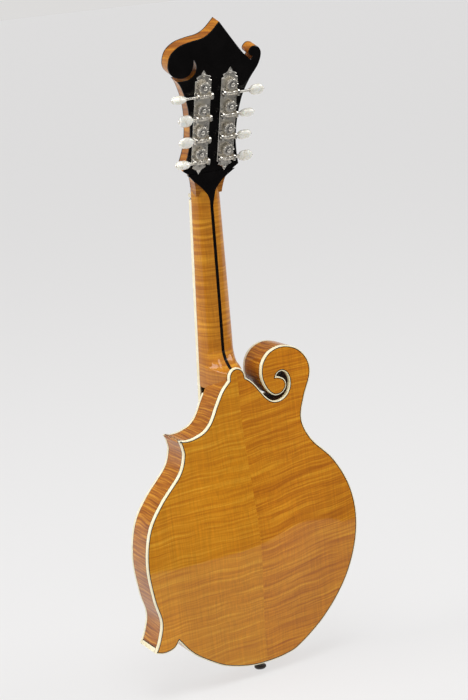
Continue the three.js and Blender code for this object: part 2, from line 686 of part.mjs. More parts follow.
function addHeadOverlays() {
  const { overlay, thickness } = HEAD;
  const base = [[-31.5, 17.5], [-22, 9.5], [-12, 2], [12, 2], [22, 9.5], [31.5, 17.5]];
  const backEdge = [...headTop.map((line) => curve(line, 1)), base.map(([x, z]) => new THREE.Vector2(x, z))];
  const back = chain(...backEdge);
  add(head, 'headstock_back_veneer', cut(prism(back, -overlay, 0), ...postHoles(-thickness, 1)), gloss);
  const pocket = box([-POCKET_HALF_WIDTH, -thickness - 1, -30], [POCKET_HALF_WIDTH, 0, POCKET_TOP]);
  // The front veneer starts just past the nut.
  const tilt = radians(HEAD.tilt);
  const pastNut = NUT_Z + NUT_LENGTH + 2 * GAP - HEAD.z;
  const start = (pastNut - thickness * Math.sin(tilt)) / Math.cos(tilt);
  const front = cut(
    prism(headCoreOutline, -thickness, -thickness + overlay), ...postHoles(-thickness - 1, 0), pocket,
    box([-60, -thickness - 1, -60], [60, 0, start]),
  );
  add(head, 'headstock_front_veneer', front, gloss);
  const bellSide = [[8, start + 1], [8.5, 2], [6.5, 14], [2.5, 22]];
  const bell = curve([...mirrorLine(bellSide), [0, 27], ...bellSide.toReversed()]);
  const cover = 1.6;
  add(head, 'truss_rod_cover', prism(bell, -thickness - GAP - cover, -thickness - GAP), gloss);
}

function addTrussRod() {
  const depth = ROD_CHANNEL.depth / 2;
  const low = neckLength(HEEL_Z - 8);
  const high = 6;
  const bar = rod(ROD_RADIUS, low, high, 'z', 10);
  bar.translate(0, depth, 0);
  add(neck, 'truss_rod', bar, steel);
  const [radius, socket, foot, top] = [ROD_CHANNEL.halfWidth - 0.2, 1.6, high + GAP, 13];
  const profile = [[0, foot], [radius, foot], [radius, top], [socket, top], [socket, 10], [0, 10]];
  const nut = turned(profile, 'z', 6);
  nut.translate(0, depth, 0);
  add(neck, 'truss_rod_nut', nut, steel);
}

function addFingerboard() {
  const top = -GAP - FINGERBOARD;
  const low = -GAP;
  const start = -GAP;
  const taper = (inset, end) => [
    new THREE.Vector2(-halfWidthAt(start) + inset, start),
    new THREE.Vector2(halfWidthAt(start) - inset, start),
    new THREE.Vector2(halfWidthAt(end) - inset, end),
    new THREE.Vector2(-halfWidthAt(end) + inset, end),
  ];
  const binding = FINGERBOARD_BINDING;
  add(neck, 'fingerboard', prism(taper(binding + GAP, fingerboardEnd + binding + GAP), top, low), ebony);
  const inner = prism(taper(binding, fingerboardEnd + binding), top - 1, 1);
  // The binding is open at the nut.
  const mouth = box([-50, -20, start - 2], [50, 5, start + 5]);
  const rim = cut(prism(taper(0, fingerboardEnd), top, low), inner, mouth);
  add(neck, 'fingerboard_binding', rim, ivory);
  const nut = box([-NUT_HALF_WIDTH, top - 0.8, GAP], [NUT_HALF_WIDTH, low, NUT_LENGTH - GAP]);
  add(neck, 'nut', nut, bone);
}

// ---------------------------------------------------------------- tuners

/** One four-on-a-plate set with its shafts, gears and posts. */
function addTuners(name, side) {
  const plate = TUNER_PLATE;
  const middle = (plate.inner + plate.outer) / 2;
  const wing = (plate.outer - plate.inner) / 2;
  const arrow = [[wing, 0], [wing - 3, 1], [wing - 1.5, 3.5], [2.2, plate.arrow - 4], [0, plate.arrow]];
  const wholeArrow = [...arrow, ...mirrorLine(arrow).reverse().slice(1)];
  const upper = wholeArrow.map(([x, z]) => [middle + x, plate.high + z]);
  const lower = wholeArrow.map(([x, z]) => [middle - x, plate.low - z]);
  const outline = [...upper, ...lower].map(([x, z]) => new THREE.Vector2(x, z));
  const top = GAP + plate.thickness;
  const shaftHeights = postHeights.map((height) => height - WORM_DROP);
  const ears = shaftHeights.flatMap((height) => [plate.inner + 0.4, plate.outer - 2.2].map((x) => (
    box([x, top - 0.5, height - 4], [x + 1.8, SHAFT_HEIGHT + 3.4, height + 4]))));
  const shaftHoles = shaftHeights.map((height) => {
    const hole = rod(SHAFT_RADIUS + 0.25, 0, 40, 'x', 8);
    hole.translate(0, SHAFT_HEIGHT, height);
    return hole;
  });
  const holes = postHoles(-5, 10).filter((_, i) => i < postHeights.length);
  const whole = cut(join(prism(outline, GAP, top), ...ears), ...shaftHoles, ...holes);
  add(head, `tuner_plate_${name}`, side > 0 ? whole : mirrored(whole), nickel);

  postHeights.forEach((height, i) => {
    const low = SHAFT_HEIGHT - 1.7;
    const high = SHAFT_HEIGHT + 1.7;
    const front = -HEAD.thickness - POST_REACH;
    const gear = turned([
      [0, front], [POST_RADIUS, front], [POST_RADIUS, low], [GEAR_RADIUS, low], [GEAR_RADIUS, high],
      [2.2, high], [2.2, high + 1.5], [0, high + 1.5],
    ], 'y', 12);
    gear.translate(side * POST_OFFSET, 0, height);
    add(head, `tuner_post_${name}_${i + 1}`, gear, nickel);

    const start = BUTTON_START[i];
    const worm = [POST_OFFSET - 5, POST_OFFSET + 5.2];
    const round = (x, radius) => [x, radius, radius];
    const shaft = spindle([
      round(plate.inner - 0.6, SHAFT_RADIUS), round(worm[0], SHAFT_RADIUS), round(worm[0], WORM_RADIUS),
      round(worm[1], WORM_RADIUS), round(worm[1], SHAFT_RADIUS), round(start - 1, SHAFT_RADIUS),
      [start, 2.6, 2.2], [start + 4.5, 6.1, 3.7], [start + 10, 6.1, 3.7], [start + 14, 2.6, 2.3],
      round(start + 15.5, 2),
    ], BUTTON_TURN[name][i]);
    const placed = side > 0 ? shaft : mirrored(shaft);
    placed.translate(0, SHAFT_HEIGHT, shaftHeights[i]);
    add(head, `tuner_button_${name}_${i + 1}`, placed, pearl);
  });
}

// ---------------------------------------------------------------- bridge, tailpiece and strings

function addBridge() {
  const half = BRIDGE_LENGTH / 2;
  const width = [BRIDGE_Z - BRIDGE_WIDTH / 2, BRIDGE_Z + BRIDGE_WIDTH / 2];
  const steps = 14;
  // The feet follow the arch under the bridge, and the middle stands clear of it.
  const sole = Array.from({ length: steps + 1 }, (_, i) => {
    const x = lerp(-half, half, i / steps);
    const under = Math.max(archHeight(x, width[0], TOP_RISE), archHeight(x, width[1], TOP_RISE));
    return [x, -under - 0.5 - (Math.abs(x) < 26 ? 2 : 0)];
  });
  const roof = [[half, -31], [44, -40.5], [38, -43.5], [-38, -43.5], [-44, -40.5], [-half, -31]];
  const posts = [-1, 1].map((side) => {
    const post = rod(BRIDGE_POST_RADIUS, -51, -41, 'y', 10);
    post.translate(side * BRIDGE_POST_X, 0, BRIDGE_Z);
    return post;
  });
  add(instrument, 'bridge_base', join(prismZ([...sole, ...roof], ...width), ...posts), ebony);
  // The saddle is a thick beam with a thin crest that the strings cross.
  const beam = prismZ([[-44, -46.6], [44, -46.6], [44, -48.2], [34, -50], [-34, -50], [-44, -48.2]],
    BRIDGE_Z - 3.5, BRIDGE_Z + 3.5);
  const crest = prismZ([[-33, -49], [33, -49], [28, -52.2], [0, SADDLE_TOP_Y], [-28, -52.2]],
    BRIDGE_Z - 1, BRIDGE_Z + 1);
  const saddle = join(beam, crest);
  const sockets = [-1, 1].map((side) => {
    const socket = rod(BRIDGE_POST_RADIUS + 0.25, -51.8, -40, 'y', 10);
    socket.translate(side * BRIDGE_POST_X, 0, BRIDGE_Z);
    return socket;
  });
  add(instrument, 'bridge_saddle', cut(saddle, ...sockets), ebony);
  [['treble', 1], ['bass', -1]].forEach(([name, side]) => {
    const wheel = turned([[BRIDGE_POST_RADIUS + 0.25, -46.3], [WHEEL_RADIUS, -46.3], [WHEEL_RADIUS, -44.4],
      [BRIDGE_POST_RADIUS + 0.25, -44.4], [BRIDGE_POST_RADIUS + 0.25, -46.3]], 'y', 16);
    wheel.translate(side * BRIDGE_POST_X, 0, BRIDGE_Z);
    add(instrument, `bridge_wheel_${name}`, wheel, nickel);
  });
}

const TAIL_ANCHOR = vec(0, -33.6, 34);

function addTail() {
  const sheet = 1.2;
  const line = [[10, -1.6], [-24.3, -1.6], [-32, 46]].map(([y, z]) => new THREE.Vector2(y, z));
  const side = strip(line, 0, sheet).map((p) => new THREE.Vector2(p.x, p.y));
  const shape = new THREE.Shape(side);
  const plate = new THREE.ExtrudeGeometry(shape, { depth: 56, bevelEnabled: false });
  // The sheet's outline is drawn in Y and Z, and its width runs along X.
  plate.applyMatrix4(new THREE.Matrix4().set(0, 0, 1, -28, 1, 0, 0, 0, 0, 1, 0, 0, 0, 0, 0, 1));
  const rail = box([-26, -35.6, 30], [26, -29, 33]);
  const hole = rod(PIN_SHANK + GAP, -6, 6, 'z');
  // The part that turns under the tail is a narrower tongue.
  const corner = box([13, -20, -6], [40, 20, 6]);
  add(instrument, 'tailpiece', cut(join(plate, rail), hole, corner, mirrored(corner)), nickel);
  const pin = turned([[0, -PIN_REACH], [5.6, -PIN_REACH], [6.6, -12], [6.6, -10.6], [4.6, -9], [4.2, -5.2],
    [7, -4], [7, -3], [PIN_SHANK, -3], [PIN_SHANK - 0.5, 18], [0, 18]], 'z', 14);
  add(instrument, 'end_pin', pin, ebony);
}

function addStrings() {
  const nutTop = vec(0, -GAP - FINGERBOARD - 0.8, NUT_LENGTH / 2).applyMatrix4(neck.matrix);
  COURSES.forEach((course, index) => {
    const side = course.nut > 0 ? 1 : -1;
    const outer = index === 0 || index === 3;
    [1, -1].forEach((twin, k) => {
      const { radius } = course;
      // The outer courses go to the two posts nearest the nut, the inner ones to the two above,
      // and the string nearest the middle goes to the higher of each two.
      const height = postHeights[(outer ? 0 : 2) + (twin * side < 0 ? 1 : 0)];
      const post = vec(side * (POST_OFFSET - POST_RADIUS - radius - GAP), -HEAD.thickness - 7, height)
        .applyMatrix4(head.matrix);
      const nutX = course.nut + twin * 1.1;
      const saddleX = course.saddle + twin * 1.25;
      const lift = Math.abs(saddleX) * 0.04;
      const points = [
        vec(course.tail + twin * 1.6, TAIL_ANCHOR.y - 2.4 - radius, TAIL_ANCHOR.z),
        vec(saddleX, SADDLE_TOP_Y - 0.4 - radius + lift, BRIDGE_Z),
        vec(nutX, nutTop.y - 0.3 - radius, nutTop.z),
        post,
      ];
      const wire = stringTube(points, radius);
      add(instrument, `string_${course.name}_${k + 1}`, wire, index < 2 ? steel : bronze);
    });
  });
}

addPlates();
addRibs();
addBlocks();
addInside();
addBinding();
addNeck();
addHeadOverlays();
addTrussRod();
addFingerboard();
addTuners('treble', 1);
addTuners('bass', -1);
addBridge();
addTail();
addStrings();

export default mandolin;
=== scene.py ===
"""Looks of a scroll-body mandolin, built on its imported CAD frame.

Outlines and sizes are in millimetres in three working frames: the instrument's (Z up from the
tail edge, back at +Y), the neck's and the headstock's. Each frame's matrix turns them into metres
in the row frame.
"""

import math

import bmesh
import bpy
from mathutils import Matrix, Vector, geometry


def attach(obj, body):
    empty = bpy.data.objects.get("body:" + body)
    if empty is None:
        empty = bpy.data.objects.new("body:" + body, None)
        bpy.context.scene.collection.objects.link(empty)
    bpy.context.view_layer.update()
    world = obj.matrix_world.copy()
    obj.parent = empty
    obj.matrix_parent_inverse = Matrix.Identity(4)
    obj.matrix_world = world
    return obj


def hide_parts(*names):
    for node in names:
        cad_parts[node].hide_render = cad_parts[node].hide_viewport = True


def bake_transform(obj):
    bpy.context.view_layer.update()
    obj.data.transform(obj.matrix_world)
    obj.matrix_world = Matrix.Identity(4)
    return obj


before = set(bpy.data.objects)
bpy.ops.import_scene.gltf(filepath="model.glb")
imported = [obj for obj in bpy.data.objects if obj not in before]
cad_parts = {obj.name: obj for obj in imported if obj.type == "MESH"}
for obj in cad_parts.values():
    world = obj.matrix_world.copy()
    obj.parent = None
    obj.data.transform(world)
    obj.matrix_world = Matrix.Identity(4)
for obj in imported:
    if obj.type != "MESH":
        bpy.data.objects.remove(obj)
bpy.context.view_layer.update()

# ---------------------------------------------------------------- driving dimensions, mm

MM = 0.001
PIN_REACH = 13  # end face of the end pin to the tail edge
BODY_HALF = 20.5  # half the depth over the bound edges
JOINT_GAP = 0.3  # the glue line between the ribs and the bindings
RIM_HALF = 16  # half the height of the ribs
BACK_RISE = 13
TOP_RISE = 15
PLATE_THICKNESS = 4
BINDING = 2
IVORY_FACE = 1.15  # the ivory part of the binding's face; the rest is its black line
RIB = 2.2
ARCH = {"z": 140, "half_width": 107, "up": 140, "down": 124, "taper": 0.24}

SCALE_LENGTH = 352.4
NUT_Z = 506
NECK_ANGLE = math.radians(5.7)
NECK_PLANE_Y = -9.5
NUT_HALF_WIDTH = 15.2
JOINT_HALF_WIDTH = 20
JOINT_FRET = 15
LAST_FRET = 24
FINGERBOARD = 5.5
BOARD_GAP = 0.3  # the glue line under the fingerboard
LAMINATION_HALF = 1.75
BUTTON_HALF_WIDTH = 9.75
HEEL_Z = 315

HEAD_TILT = math.radians(20)
HEAD_Y = 7.6  # where the headstock's back crosses its frame's origin
HEAD_Z = 520
HEAD_THICKNESS = 15
VENEER = 1.5
POST_OFFSET = 15.4
POST_HEIGHTS = [37 + 23.5 * i for i in range(4)]
POST_RADIUS = 2.9
POST_WAIST = 2.4  # the post's radius where the string winds
POST_REACH = 12
GEAR_RADIUS = 6.2
GEAR_TEETH = 15
GEAR_HALF = 1.7  # half the gear's thickness
WORM_RADIUS = 2.4
SHAFT_RADIUS = 1.3
SHAFT_HEIGHTS = [height - GEAR_RADIUS - WORM_RADIUS - 0.4 for height in POST_HEIGHTS]
SHAFT_OUT = 5.4  # the shafts' height above the back of the headstock
BUTTON_LENGTH = 14.5
BUTTON_START = [28.5, 25.5, 27.5, 36.5]
BUTTON_TURN = {"treble": [90, 8, 0, 80], "bass": [12, 35, 55, 15]}
SIDES = {"treble": 1, "bass": -1}

BRIDGE_Z = NUT_Z - SCALE_LENGTH
SADDLE_TOP_Y = -53.4
TAIL_HOOK = {"y": -36, "z": 34}
TWIN_HALF = {"nut": 1.1, "saddle": 1.25, "tail": 1.6}  # half the gap between a pair's two strings

TO_ROW = Matrix.Diagonal((MM, MM, MM, 1)) @ Matrix.Translation((0, 0, PIN_REACH))
NECK = TO_ROW @ Matrix.Translation((0, NECK_PLANE_Y, NUT_Z)) @ Matrix.Rotation(-NECK_ANGLE, 4, "X")
HEAD = TO_ROW @ Matrix.Translation((0, HEAD_Y, HEAD_Z)) @ Matrix.Rotation(-HEAD_TILT, 4, "X")

# ---------------------------------------------------------------- outlines, as (x, z)

BASS_SIDE = [
    (0, 0), (-21, 1.7), (-41, 8), (-75, 32), (-104, 65.5), (-121.3, 102.5), (-127, 139), (-121.2, 174),
    (-104.5, 206.5), (-81, 233), (-71.2, 257), (-77, 281), (-86.5, 303), (-85.5, 320), (-74, 334.5),
    (-56, 340.5), (-40, 336.5), (-30.5, 325.5), (-28.3, 311), (-33, 297.5), (-41.5, 289.3), (-50.8, 290),
    (-56.6, 296.5), (-55.6, 303.5), (-50.3, 307.6), (-45.5, 308.8),
]
SLOT_SIDE = [
    (-45.5, 308.8), (-48, 312.2), (-53.5, 313.4), (-58.8, 309.3), (-60.9, 301.5), (-59.2, 293),
    (-54, 286.4), (-46, 283), (-38, 284.3), (-31.3, 289.8), (-26, 297), (-20.5, 305), (-15, 311),
    (-BUTTON_HALF_WIDTH, HEEL_Z),
]
BUTTON_EDGE = [
    (-BUTTON_HALF_WIDTH, HEEL_Z), (-8.8, 321), (-5.3, 325.6), (0, 327.4), (5.3, 325.6), (8.8, 321),
    (BUTTON_HALF_WIDTH, HEEL_Z),
]
CUTAWAY = [
    (BUTTON_HALF_WIDTH, HEEL_Z), (18.7, 306), (27.5, 291.5), (35.3, 277), (44, 268.3), (55.5, 264),
    (65, 263), (74, 264.5),
]
TREBLE_SIDE = [
    (74, 264.5), (71.5, 256), (71.2, 246), (78.5, 228.5), (102.3, 203), (119, 176.7), (126, 140.5),
    (123.2, 103.6), (118, 78), (122.5, 59), (128.7, 46.2),
]
LOWER_POINT = [(128.7, 46.2), (120.5, 43.4), (112, 43.8), (105, 46.7), (100.6, 52)]
TREBLE_TAIL = [(100.6, 52), (85, 32.5), (57.3, 13.1), (37.7, 5.2), (16.5, 0.7), (0, 0)]

HEAD_TREBLE = [
    (31.5, 17.5), (27.7, 32), (25.9, 45), (26.2, 62), (28.5, 80), (32.2, 93.5), (38.2, 108), (43, 115),
]
HEAD_TREBLE_SLOT = [(43, 115), (31, 115.6), (24, 120.5), (22.4, 128), (25.8, 136)]
HEAD_BULGE = [
    (25.8, 136), (26.2, 128.5), (29, 121.8), (35, 118.3), (44, 119.2), (51, 124), (54, 132.5),
    (51.5, 143.5), (43, 151), (31, 154.6), (17.5, 157), (9, 162), (0, 172),
]
HEAD_CREST = [(0, 172), (-25, 141), (-35, 131)]
HEAD_CURL = [
    (-35, 131), (-38.4, 129), (-39.8, 131.5), (-36, 134), (-35.2, 138.2), (-39.2, 142.2), (-45.5, 141),
    (-49.2, 134), (-46.8, 122.5), (-38.4, 109), (-32, 95), (-28.5, 80), (-26.6, 62), (-26.8, 45),
    (-28.6, 31), (-31.5, 17.5),
]
HEAD_FLARE = [(-31.5, 17.5), (-24, 12), (-18, 4), (-15.7, -5), (-14.8, -13)]
# The veneer's tongue down the back of the neck: half widths and places up the headstock.
TONGUE_TREBLE = [(30.8, 16), (21.4, 8.4), (11.8, 0.1), (4.4, -8.9), (1.8, -16.4), (1.75, -22)]
TONGUE_BASS = [(31.4, 18), (28.8, 15.9), (21, 10.5), (13.3, 3.9), (6.9, -5.2), (4, -13.8), (1.8, -22)]

# ---------------------------------------------------------------- geometry helpers


def lerp(a, b, t):
    return a + (b - a) * t


def curve(points, steps=6):
    """A smooth line through points, as Vector samples of any dimension."""
    points = [Vector(p) for p in points]
    last = len(points) - 1
    samples = []
    for i in range(last):
        p0, p1, p2, p3 = (points[min(max(k, 0), last)] for k in (i - 1, i, i + 1, i + 2))
        v0, v1 = (p2 - p0) / 2, (p3 - p1) / 2
        for k in range(steps):
            t = k / steps
            bend = (2 * p1 - 2 * p2 + v0 + v1) * t**3 + (-3 * p1 + 3 * p2 - 2 * v0 - v1) * t**2
            samples.append(bend + v0 * t + p1)
    return samples + [points[last]]


def chain(*lines):
    """Joins lines end to end, leaving out the point that two neighbours share."""
    return [point for line in lines for point in line[:-1]]


def offset(line, distance, closed=True):
    """Moves a line to its right by a distance, mitred at each corner."""
    count = len(line)
    moved = []
    for i, point in enumerate(line):
        before = line[i - 1] if closed or i > 0 else None
        after = line[(i + 1) % count] if closed or i < count - 1 else None
        normals = []
        for a, b in ((before, point), (point, after)):
            if a is not None and b is not None:
                normals.append(Vector((b.y - a.y, a.x - b.x)).normalized())
        first, second = normals[0], normals[-1]
        spread = max(1 + first.dot(second), 0.3)
        moved.append(point + (first + second) * (distance / spread))
    return moved


def lengths_along(line):
    """The length from a line's start to each of its points."""
    lengths = [0]
    for a, b in zip(line, line[1:]):
        lengths.append(lengths[-1] + (b - a).length)
    return lengths


def part_of(line, start, stop):
    """The part of a line between two lengths along it; a length below zero counts from its end."""
    lengths = lengths_along(line)
    total = lengths[-1]
    start = start + total if start < 0 else start
    stop = stop + total if stop <= 0 else stop
    between = [p for p, length in zip(line, lengths) if start + 0.01 < length < stop - 0.01]
    return [point_along(line, lengths, start), *between, point_along(line, lengths, stop)]


def point_along(line, lengths, distance):
    for a, b, low, high in zip(line, line[1:], lengths, lengths[1:]):
        if distance <= high:
            return a.lerp(b, (distance - low) / (high - low))
    return line[-1]


def arc(centre, radius, start, stop, steps=12):
    """Points round part of a circle, between two angles in degrees."""
    angles = [math.radians(lerp(start, stop, k / steps)) for k in range(steps + 1)]
    return [Vector(centre) + Vector((math.cos(a), math.sin(a))) * radius for a in angles]


def area(outline):
    """Signed area of an outline: positive when its inside is on the left."""
    return sum(a.x * b.y - b.x * a.y for a, b in zip(outline, outline[1:] + outline[:1])) / 2


def mirrored(line):
    return [Vector((-p[0], *p[1:])) for p in line]


def piece(name, verts, faces, matrix, material, slot, body="body", smooth=35, replaces=(), along=None):
    """A mesh in a working frame, made into a piece that rides on a body.

    Edges sharper than `smooth` degrees stay crisp; `along` gives each vertex its length along a strip.
    """
    mesh = bpy.data.meshes.new(name)
    mesh.from_pydata([matrix @ Vector(v) for v in verts], [], faces)
    if along:
        mesh.attributes.new("along", "FLOAT", "POINT").data.foreach_set("value", along)
    bm = bmesh.new()
    bm.from_mesh(mesh)
    bmesh.ops.remove_doubles(bm, verts=bm.verts, dist=1e-7)
    bmesh.ops.recalc_face_normals(bm, faces=bm.faces)
    bm.to_mesh(mesh)
    bm.free()
    mesh.shade_smooth()
    mesh.set_sharp_from_angle(angle=math.radians(smooth))
    mesh.materials.append(material)
    obj = bpy.data.objects.new(name, mesh)
    bpy.context.scene.collection.objects.link(obj)
    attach(obj, body)
    if replaces:
        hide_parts(*replaces)
    return obj


def grid(rings, caps=True):
    """Vertices and faces of a skin through rings of equal counts."""
    count = len(rings[0])
    verts = [p for ring in rings for p in ring]
    faces = []
    for r in range(len(rings) - 1):
        for i in range(count):
            j = (i + 1) % count
            faces.append((r * count + i, r * count + j, (r + 1) * count + j, (r + 1) * count + i))
    if caps:
        for start in (0, (len(rings) - 1) * count):
            ring = [Vector(p) for p in verts[start:start + count]]
            faces += [tuple(start + k for k in tri) for tri in geometry.tessellate_polygon([ring])]
    return verts, faces


def slab(outline, low, high, bevel=0.35):
    """An (x, z) outline as a plate between two heights on Y, with small bevels round both faces."""
    inset = offset(outline, bevel if area(outline) < 0 else -bevel)
    levels = [(inset, low), (outline, low + bevel), (outline, high - bevel), (inset, high)]
    return grid([[(p.x, y, p.y) for p in line] for line, y in levels])


def band(outline, profile, closed=True):
    """A strip along an outline; its section is a closed list of (distance inside, y)."""
    lines = {d: offset(outline, d, closed) for d, _ in profile}
    rings = [[(lines[d][i].x, y, lines[d][i].y) for d, y in profile] for i in range(len(outline))]
    if closed:
        return grid(rings + [rings[0]], caps=False)
    return grid(rings)


def ring(radius, x, segments=16, axis="x", flat=1.0):
    """A circle of points about an axis, at a place on it."""
    points = []
    for i in range(segments):
        a = 2 * math.pi * i / segments
        u, v = radius * math.cos(a), radius * flat * math.sin(a)
        points.append({"x": (x, u, v), "y": (v, x, u), "z": (u, v, x)}[axis])
    return points


def turned(profile, axis, segments=20, centre=(0, 0, 0)):
    """A (radius, height) profile turned about an axis through a centre."""
    rings = [[Vector(p) + Vector(centre) for p in ring(max(r, 0.01), h, segments, axis)] for r, h in profile]
    return grid(rings)


def tube(points, radius, sides=8):
    """A round wire through points."""
    points = [Vector(p) for p in points]
    side = None
    rings = []
    for i, point in enumerate(points):
        along = (points[min(i + 1, len(points) - 1)] - points[max(i - 1, 0)]).normalized()
        if side is None:
            side = along.orthogonal().normalized()
        side = (side - along * side.dot(along)).normalized()
        up = along.cross(side)
        angles = [2 * math.pi * k / sides for k in range(sides)]
        rings.append([point + (side * math.cos(a) + up * math.sin(a)) * radius for a in angles])
    return grid(rings)


def merged(*parts):
    """Several (vertices, faces) as one."""
    verts, faces = [], []
    for more_verts, more_faces in parts:
        base = len(verts)
        verts += [Vector(v) for v in more_verts]
        faces += [tuple(base + k for k in face) for face in more_faces]
    return verts, faces


def moved(shape, matrix):
    return [matrix @ Vector(v) for v in shape[0]], shape[1]


# ---------------------------------------------------------------- materials


def new_material(name, roughness, metallic=0.0, coat=0.0, coat_roughness=0.05):
    mat = bpy.data.materials.new(name)
    mat.use_nodes = True
    shader = mat.node_tree.nodes["Principled BSDF"]
    shader.inputs["Roughness"].default_value = roughness
    shader.inputs["Metallic"].default_value = metallic
    shader.inputs["Coat Weight"].default_value = coat
    shader.inputs["Coat Roughness"].default_value = coat_roughness
    return mat


def add_node(mat, kind, inputs=None, **settings):
    """A node with its settings and inputs; an input is a value or another node's output."""
    node = mat.node_tree.nodes.new(kind)
    for key, value in settings.items():
        setattr(node, key, value)
    for key, value in (inputs or {}).items():
        if isinstance(value, bpy.types.NodeSocket):
            mat.node_tree.links.new(value, node.inputs[key])
        else:
            node.inputs[key].default_value = value
    return node


def own_place(mat, bent=False):
    """The object's own coordinates; on a bent strip, Z is the length along the strip instead."""
    place = add_node(mat, "ShaderNodeTexCoord").outputs["Object"]
    if not bent:
        return place
    depth = add_node(mat, "ShaderNodeSeparateXYZ", {"Vector": place}).outputs["Y"]
    along = add_node(mat, "ShaderNodeAttribute", attribute_name="along").outputs["Fac"]
    return add_node(mat, "ShaderNodeCombineXYZ", {"Y": depth, "Z": along}).outputs["Vector"]


def stretched_noise(mat, scale, detail=2.0, turn=0.0, warp=0.0, roughness=0.5, place=None):
    """Noise over a place, or the object's own coordinates: scaled by axis, turned about Y and warped."""
    place = place or own_place(mat)
    turned_place = add_node(mat, "ShaderNodeMapping", {"Vector": place, "Rotation": (0, turn, 0)})
    mapping = add_node(mat, "ShaderNodeMapping", {"Vector": turned_place.outputs["Vector"], "Scale": scale})
    return add_node(mat, "ShaderNodeTexNoise", {
        "Vector": mapping.outputs["Vector"], "Scale": 1.0, "Detail": detail, "Distortion": warp,
        "Roughness": roughness,
    }).outputs["Fac"]


def spread(mat, value, low, high, out_low=0.0, out_high=1.0):
    """Stretches part of a value's range to another range."""
    return add_node(mat, "ShaderNodeMapRange", {
        "Value": value, "From Min": low, "From Max": high, "To Min": out_low, "To Max": out_high,
    }).outputs["Result"]


def ramp(mat, value, stops):
    """Colours along a value; stops are (place, colour)."""
    node = add_node(mat, "ShaderNodeValToRGB", {"Fac": value})
    elements = node.color_ramp.elements
    while len(elements) < len(stops):
        elements.new(0.5)
    for element, (place, colour) in zip(elements, stops):
        element.position = place
        element.color = (*colour, 1)
    return node.outputs["Color"]


def multiplied(mat, colour, shade):
    inputs = {0: 1.0, 6: colour, 7: shade}
    return add_node(mat, "ShaderNodeMix", inputs, data_type="RGBA", blend_type="MULTIPLY").outputs[2]


def add_bump(mat, height, strength, distance):
    node = add_node(mat, "ShaderNodeBump", {"Height": height, "Strength": strength, "Distance": distance})
    shader = mat.node_tree.nodes["Principled BSDF"]
    mat.node_tree.links.new(node.outputs["Normal"], shader.inputs["Normal"])


def set_input(mat, name, value):
    shader = mat.node_tree.nodes["Principled BSDF"]
    if isinstance(value, bpy.types.NodeSocket):
        mat.node_tree.links.new(value, shader.inputs[name])
    else:
        shader.inputs[name].default_value = value


def maple(name, dark, middle, light, flame=1.0, band_mm=6.0, turn=0.0, coat=0.6, bent=False):
    """Lacquered maple: bands of flame across the grain, fine grain lines and slow colour drift."""
    mat = new_material(name, 0.45, coat=coat, coat_roughness=0.04)
    set_input(mat, "Specular IOR Level", 0.15)
    across = 1000 / band_mm
    straight = own_place(mat, bent)
    slow = stretched_noise(mat, (30, 30, 25), detail=1.0, place=straight)
    sway = spread(mat, slow, 0.3, 0.7, -1.2 * MM, 1.2 * MM)
    lift = add_node(mat, "ShaderNodeCombineXYZ", {"Z": sway}).outputs["Vector"]
    wavy = add_node(mat, "ShaderNodeVectorMath", {0: straight, 1: lift}).outputs["Vector"]
    broad = stretched_noise(mat, (13, 13, across), detail=1.0, turn=turn, warp=0.25, place=wavy)
    fine = stretched_noise(mat, (30, 30, across * 2.3), detail=2.0, turn=turn, warp=0.2, place=wavy)
    both = add_node(mat, "ShaderNodeMix", {0: 0.35, 2: broad, 3: fine}).outputs[0]
    flames = spread(mat, both, 0.5 - 0.16 / flame, 0.5 + 0.16 / flame)
    colour = ramp(mat, flames, [(0.0, dark), (0.5, middle), (1.0, light)])
    grain = stretched_noise(mat, (700, 700, 14), detail=3.0, roughness=0.65)
    pale = spread(mat, grain, 0.3, 0.7, 0.84, 1.08)
    lined = multiplied(mat, colour, pale)
    drift = spread(mat, stretched_noise(mat, (9, 9, 6), detail=1.0), 0.3, 0.7, 0.88, 1.1)
    set_input(mat, "Base Color", multiplied(mat, lined, drift))
    add_bump(mat, grain, 0.05, 0.0001)
    return mat


def speckled(name, colour, amount, scale, roughness, metallic=0.0, coat=0.0, bump=0.0):
    """A nearly even colour with slow mottling; metals also vary in roughness."""
    mat = new_material(name, roughness, metallic, coat)
    noise = stretched_noise(mat, (scale, scale, scale), detail=4.0, roughness=0.6)
    low = tuple(c * (1 - amount) for c in colour)
    high = tuple(min(c * (1 + amount), 1) for c in colour)
    set_input(mat, "Base Color", ramp(mat, noise, [(0.3, low), (0.7, high)]))
    if metallic:
        set_input(mat, "Roughness", spread(mat, noise, 0.3, 0.7, roughness * 0.7, roughness * 1.5))
    if bump:
        add_bump(mat, noise, bump, 0.0002)
    return mat


def ebony_wood(name):
    """Oiled black wood with fine pores along the grain."""
    mat = new_material(name, 0.42, coat=0.15, coat_roughness=0.3)
    pores = stretched_noise(mat, (1400, 1400, 60), detail=3.0)
    stops = [(0.35, (0.012, 0.009, 0.008)), (0.7, (0.045, 0.034, 0.028))]
    set_input(mat, "Base Color", ramp(mat, pores, stops))
    add_bump(mat, pores, 0.25, 0.0001)
    return mat


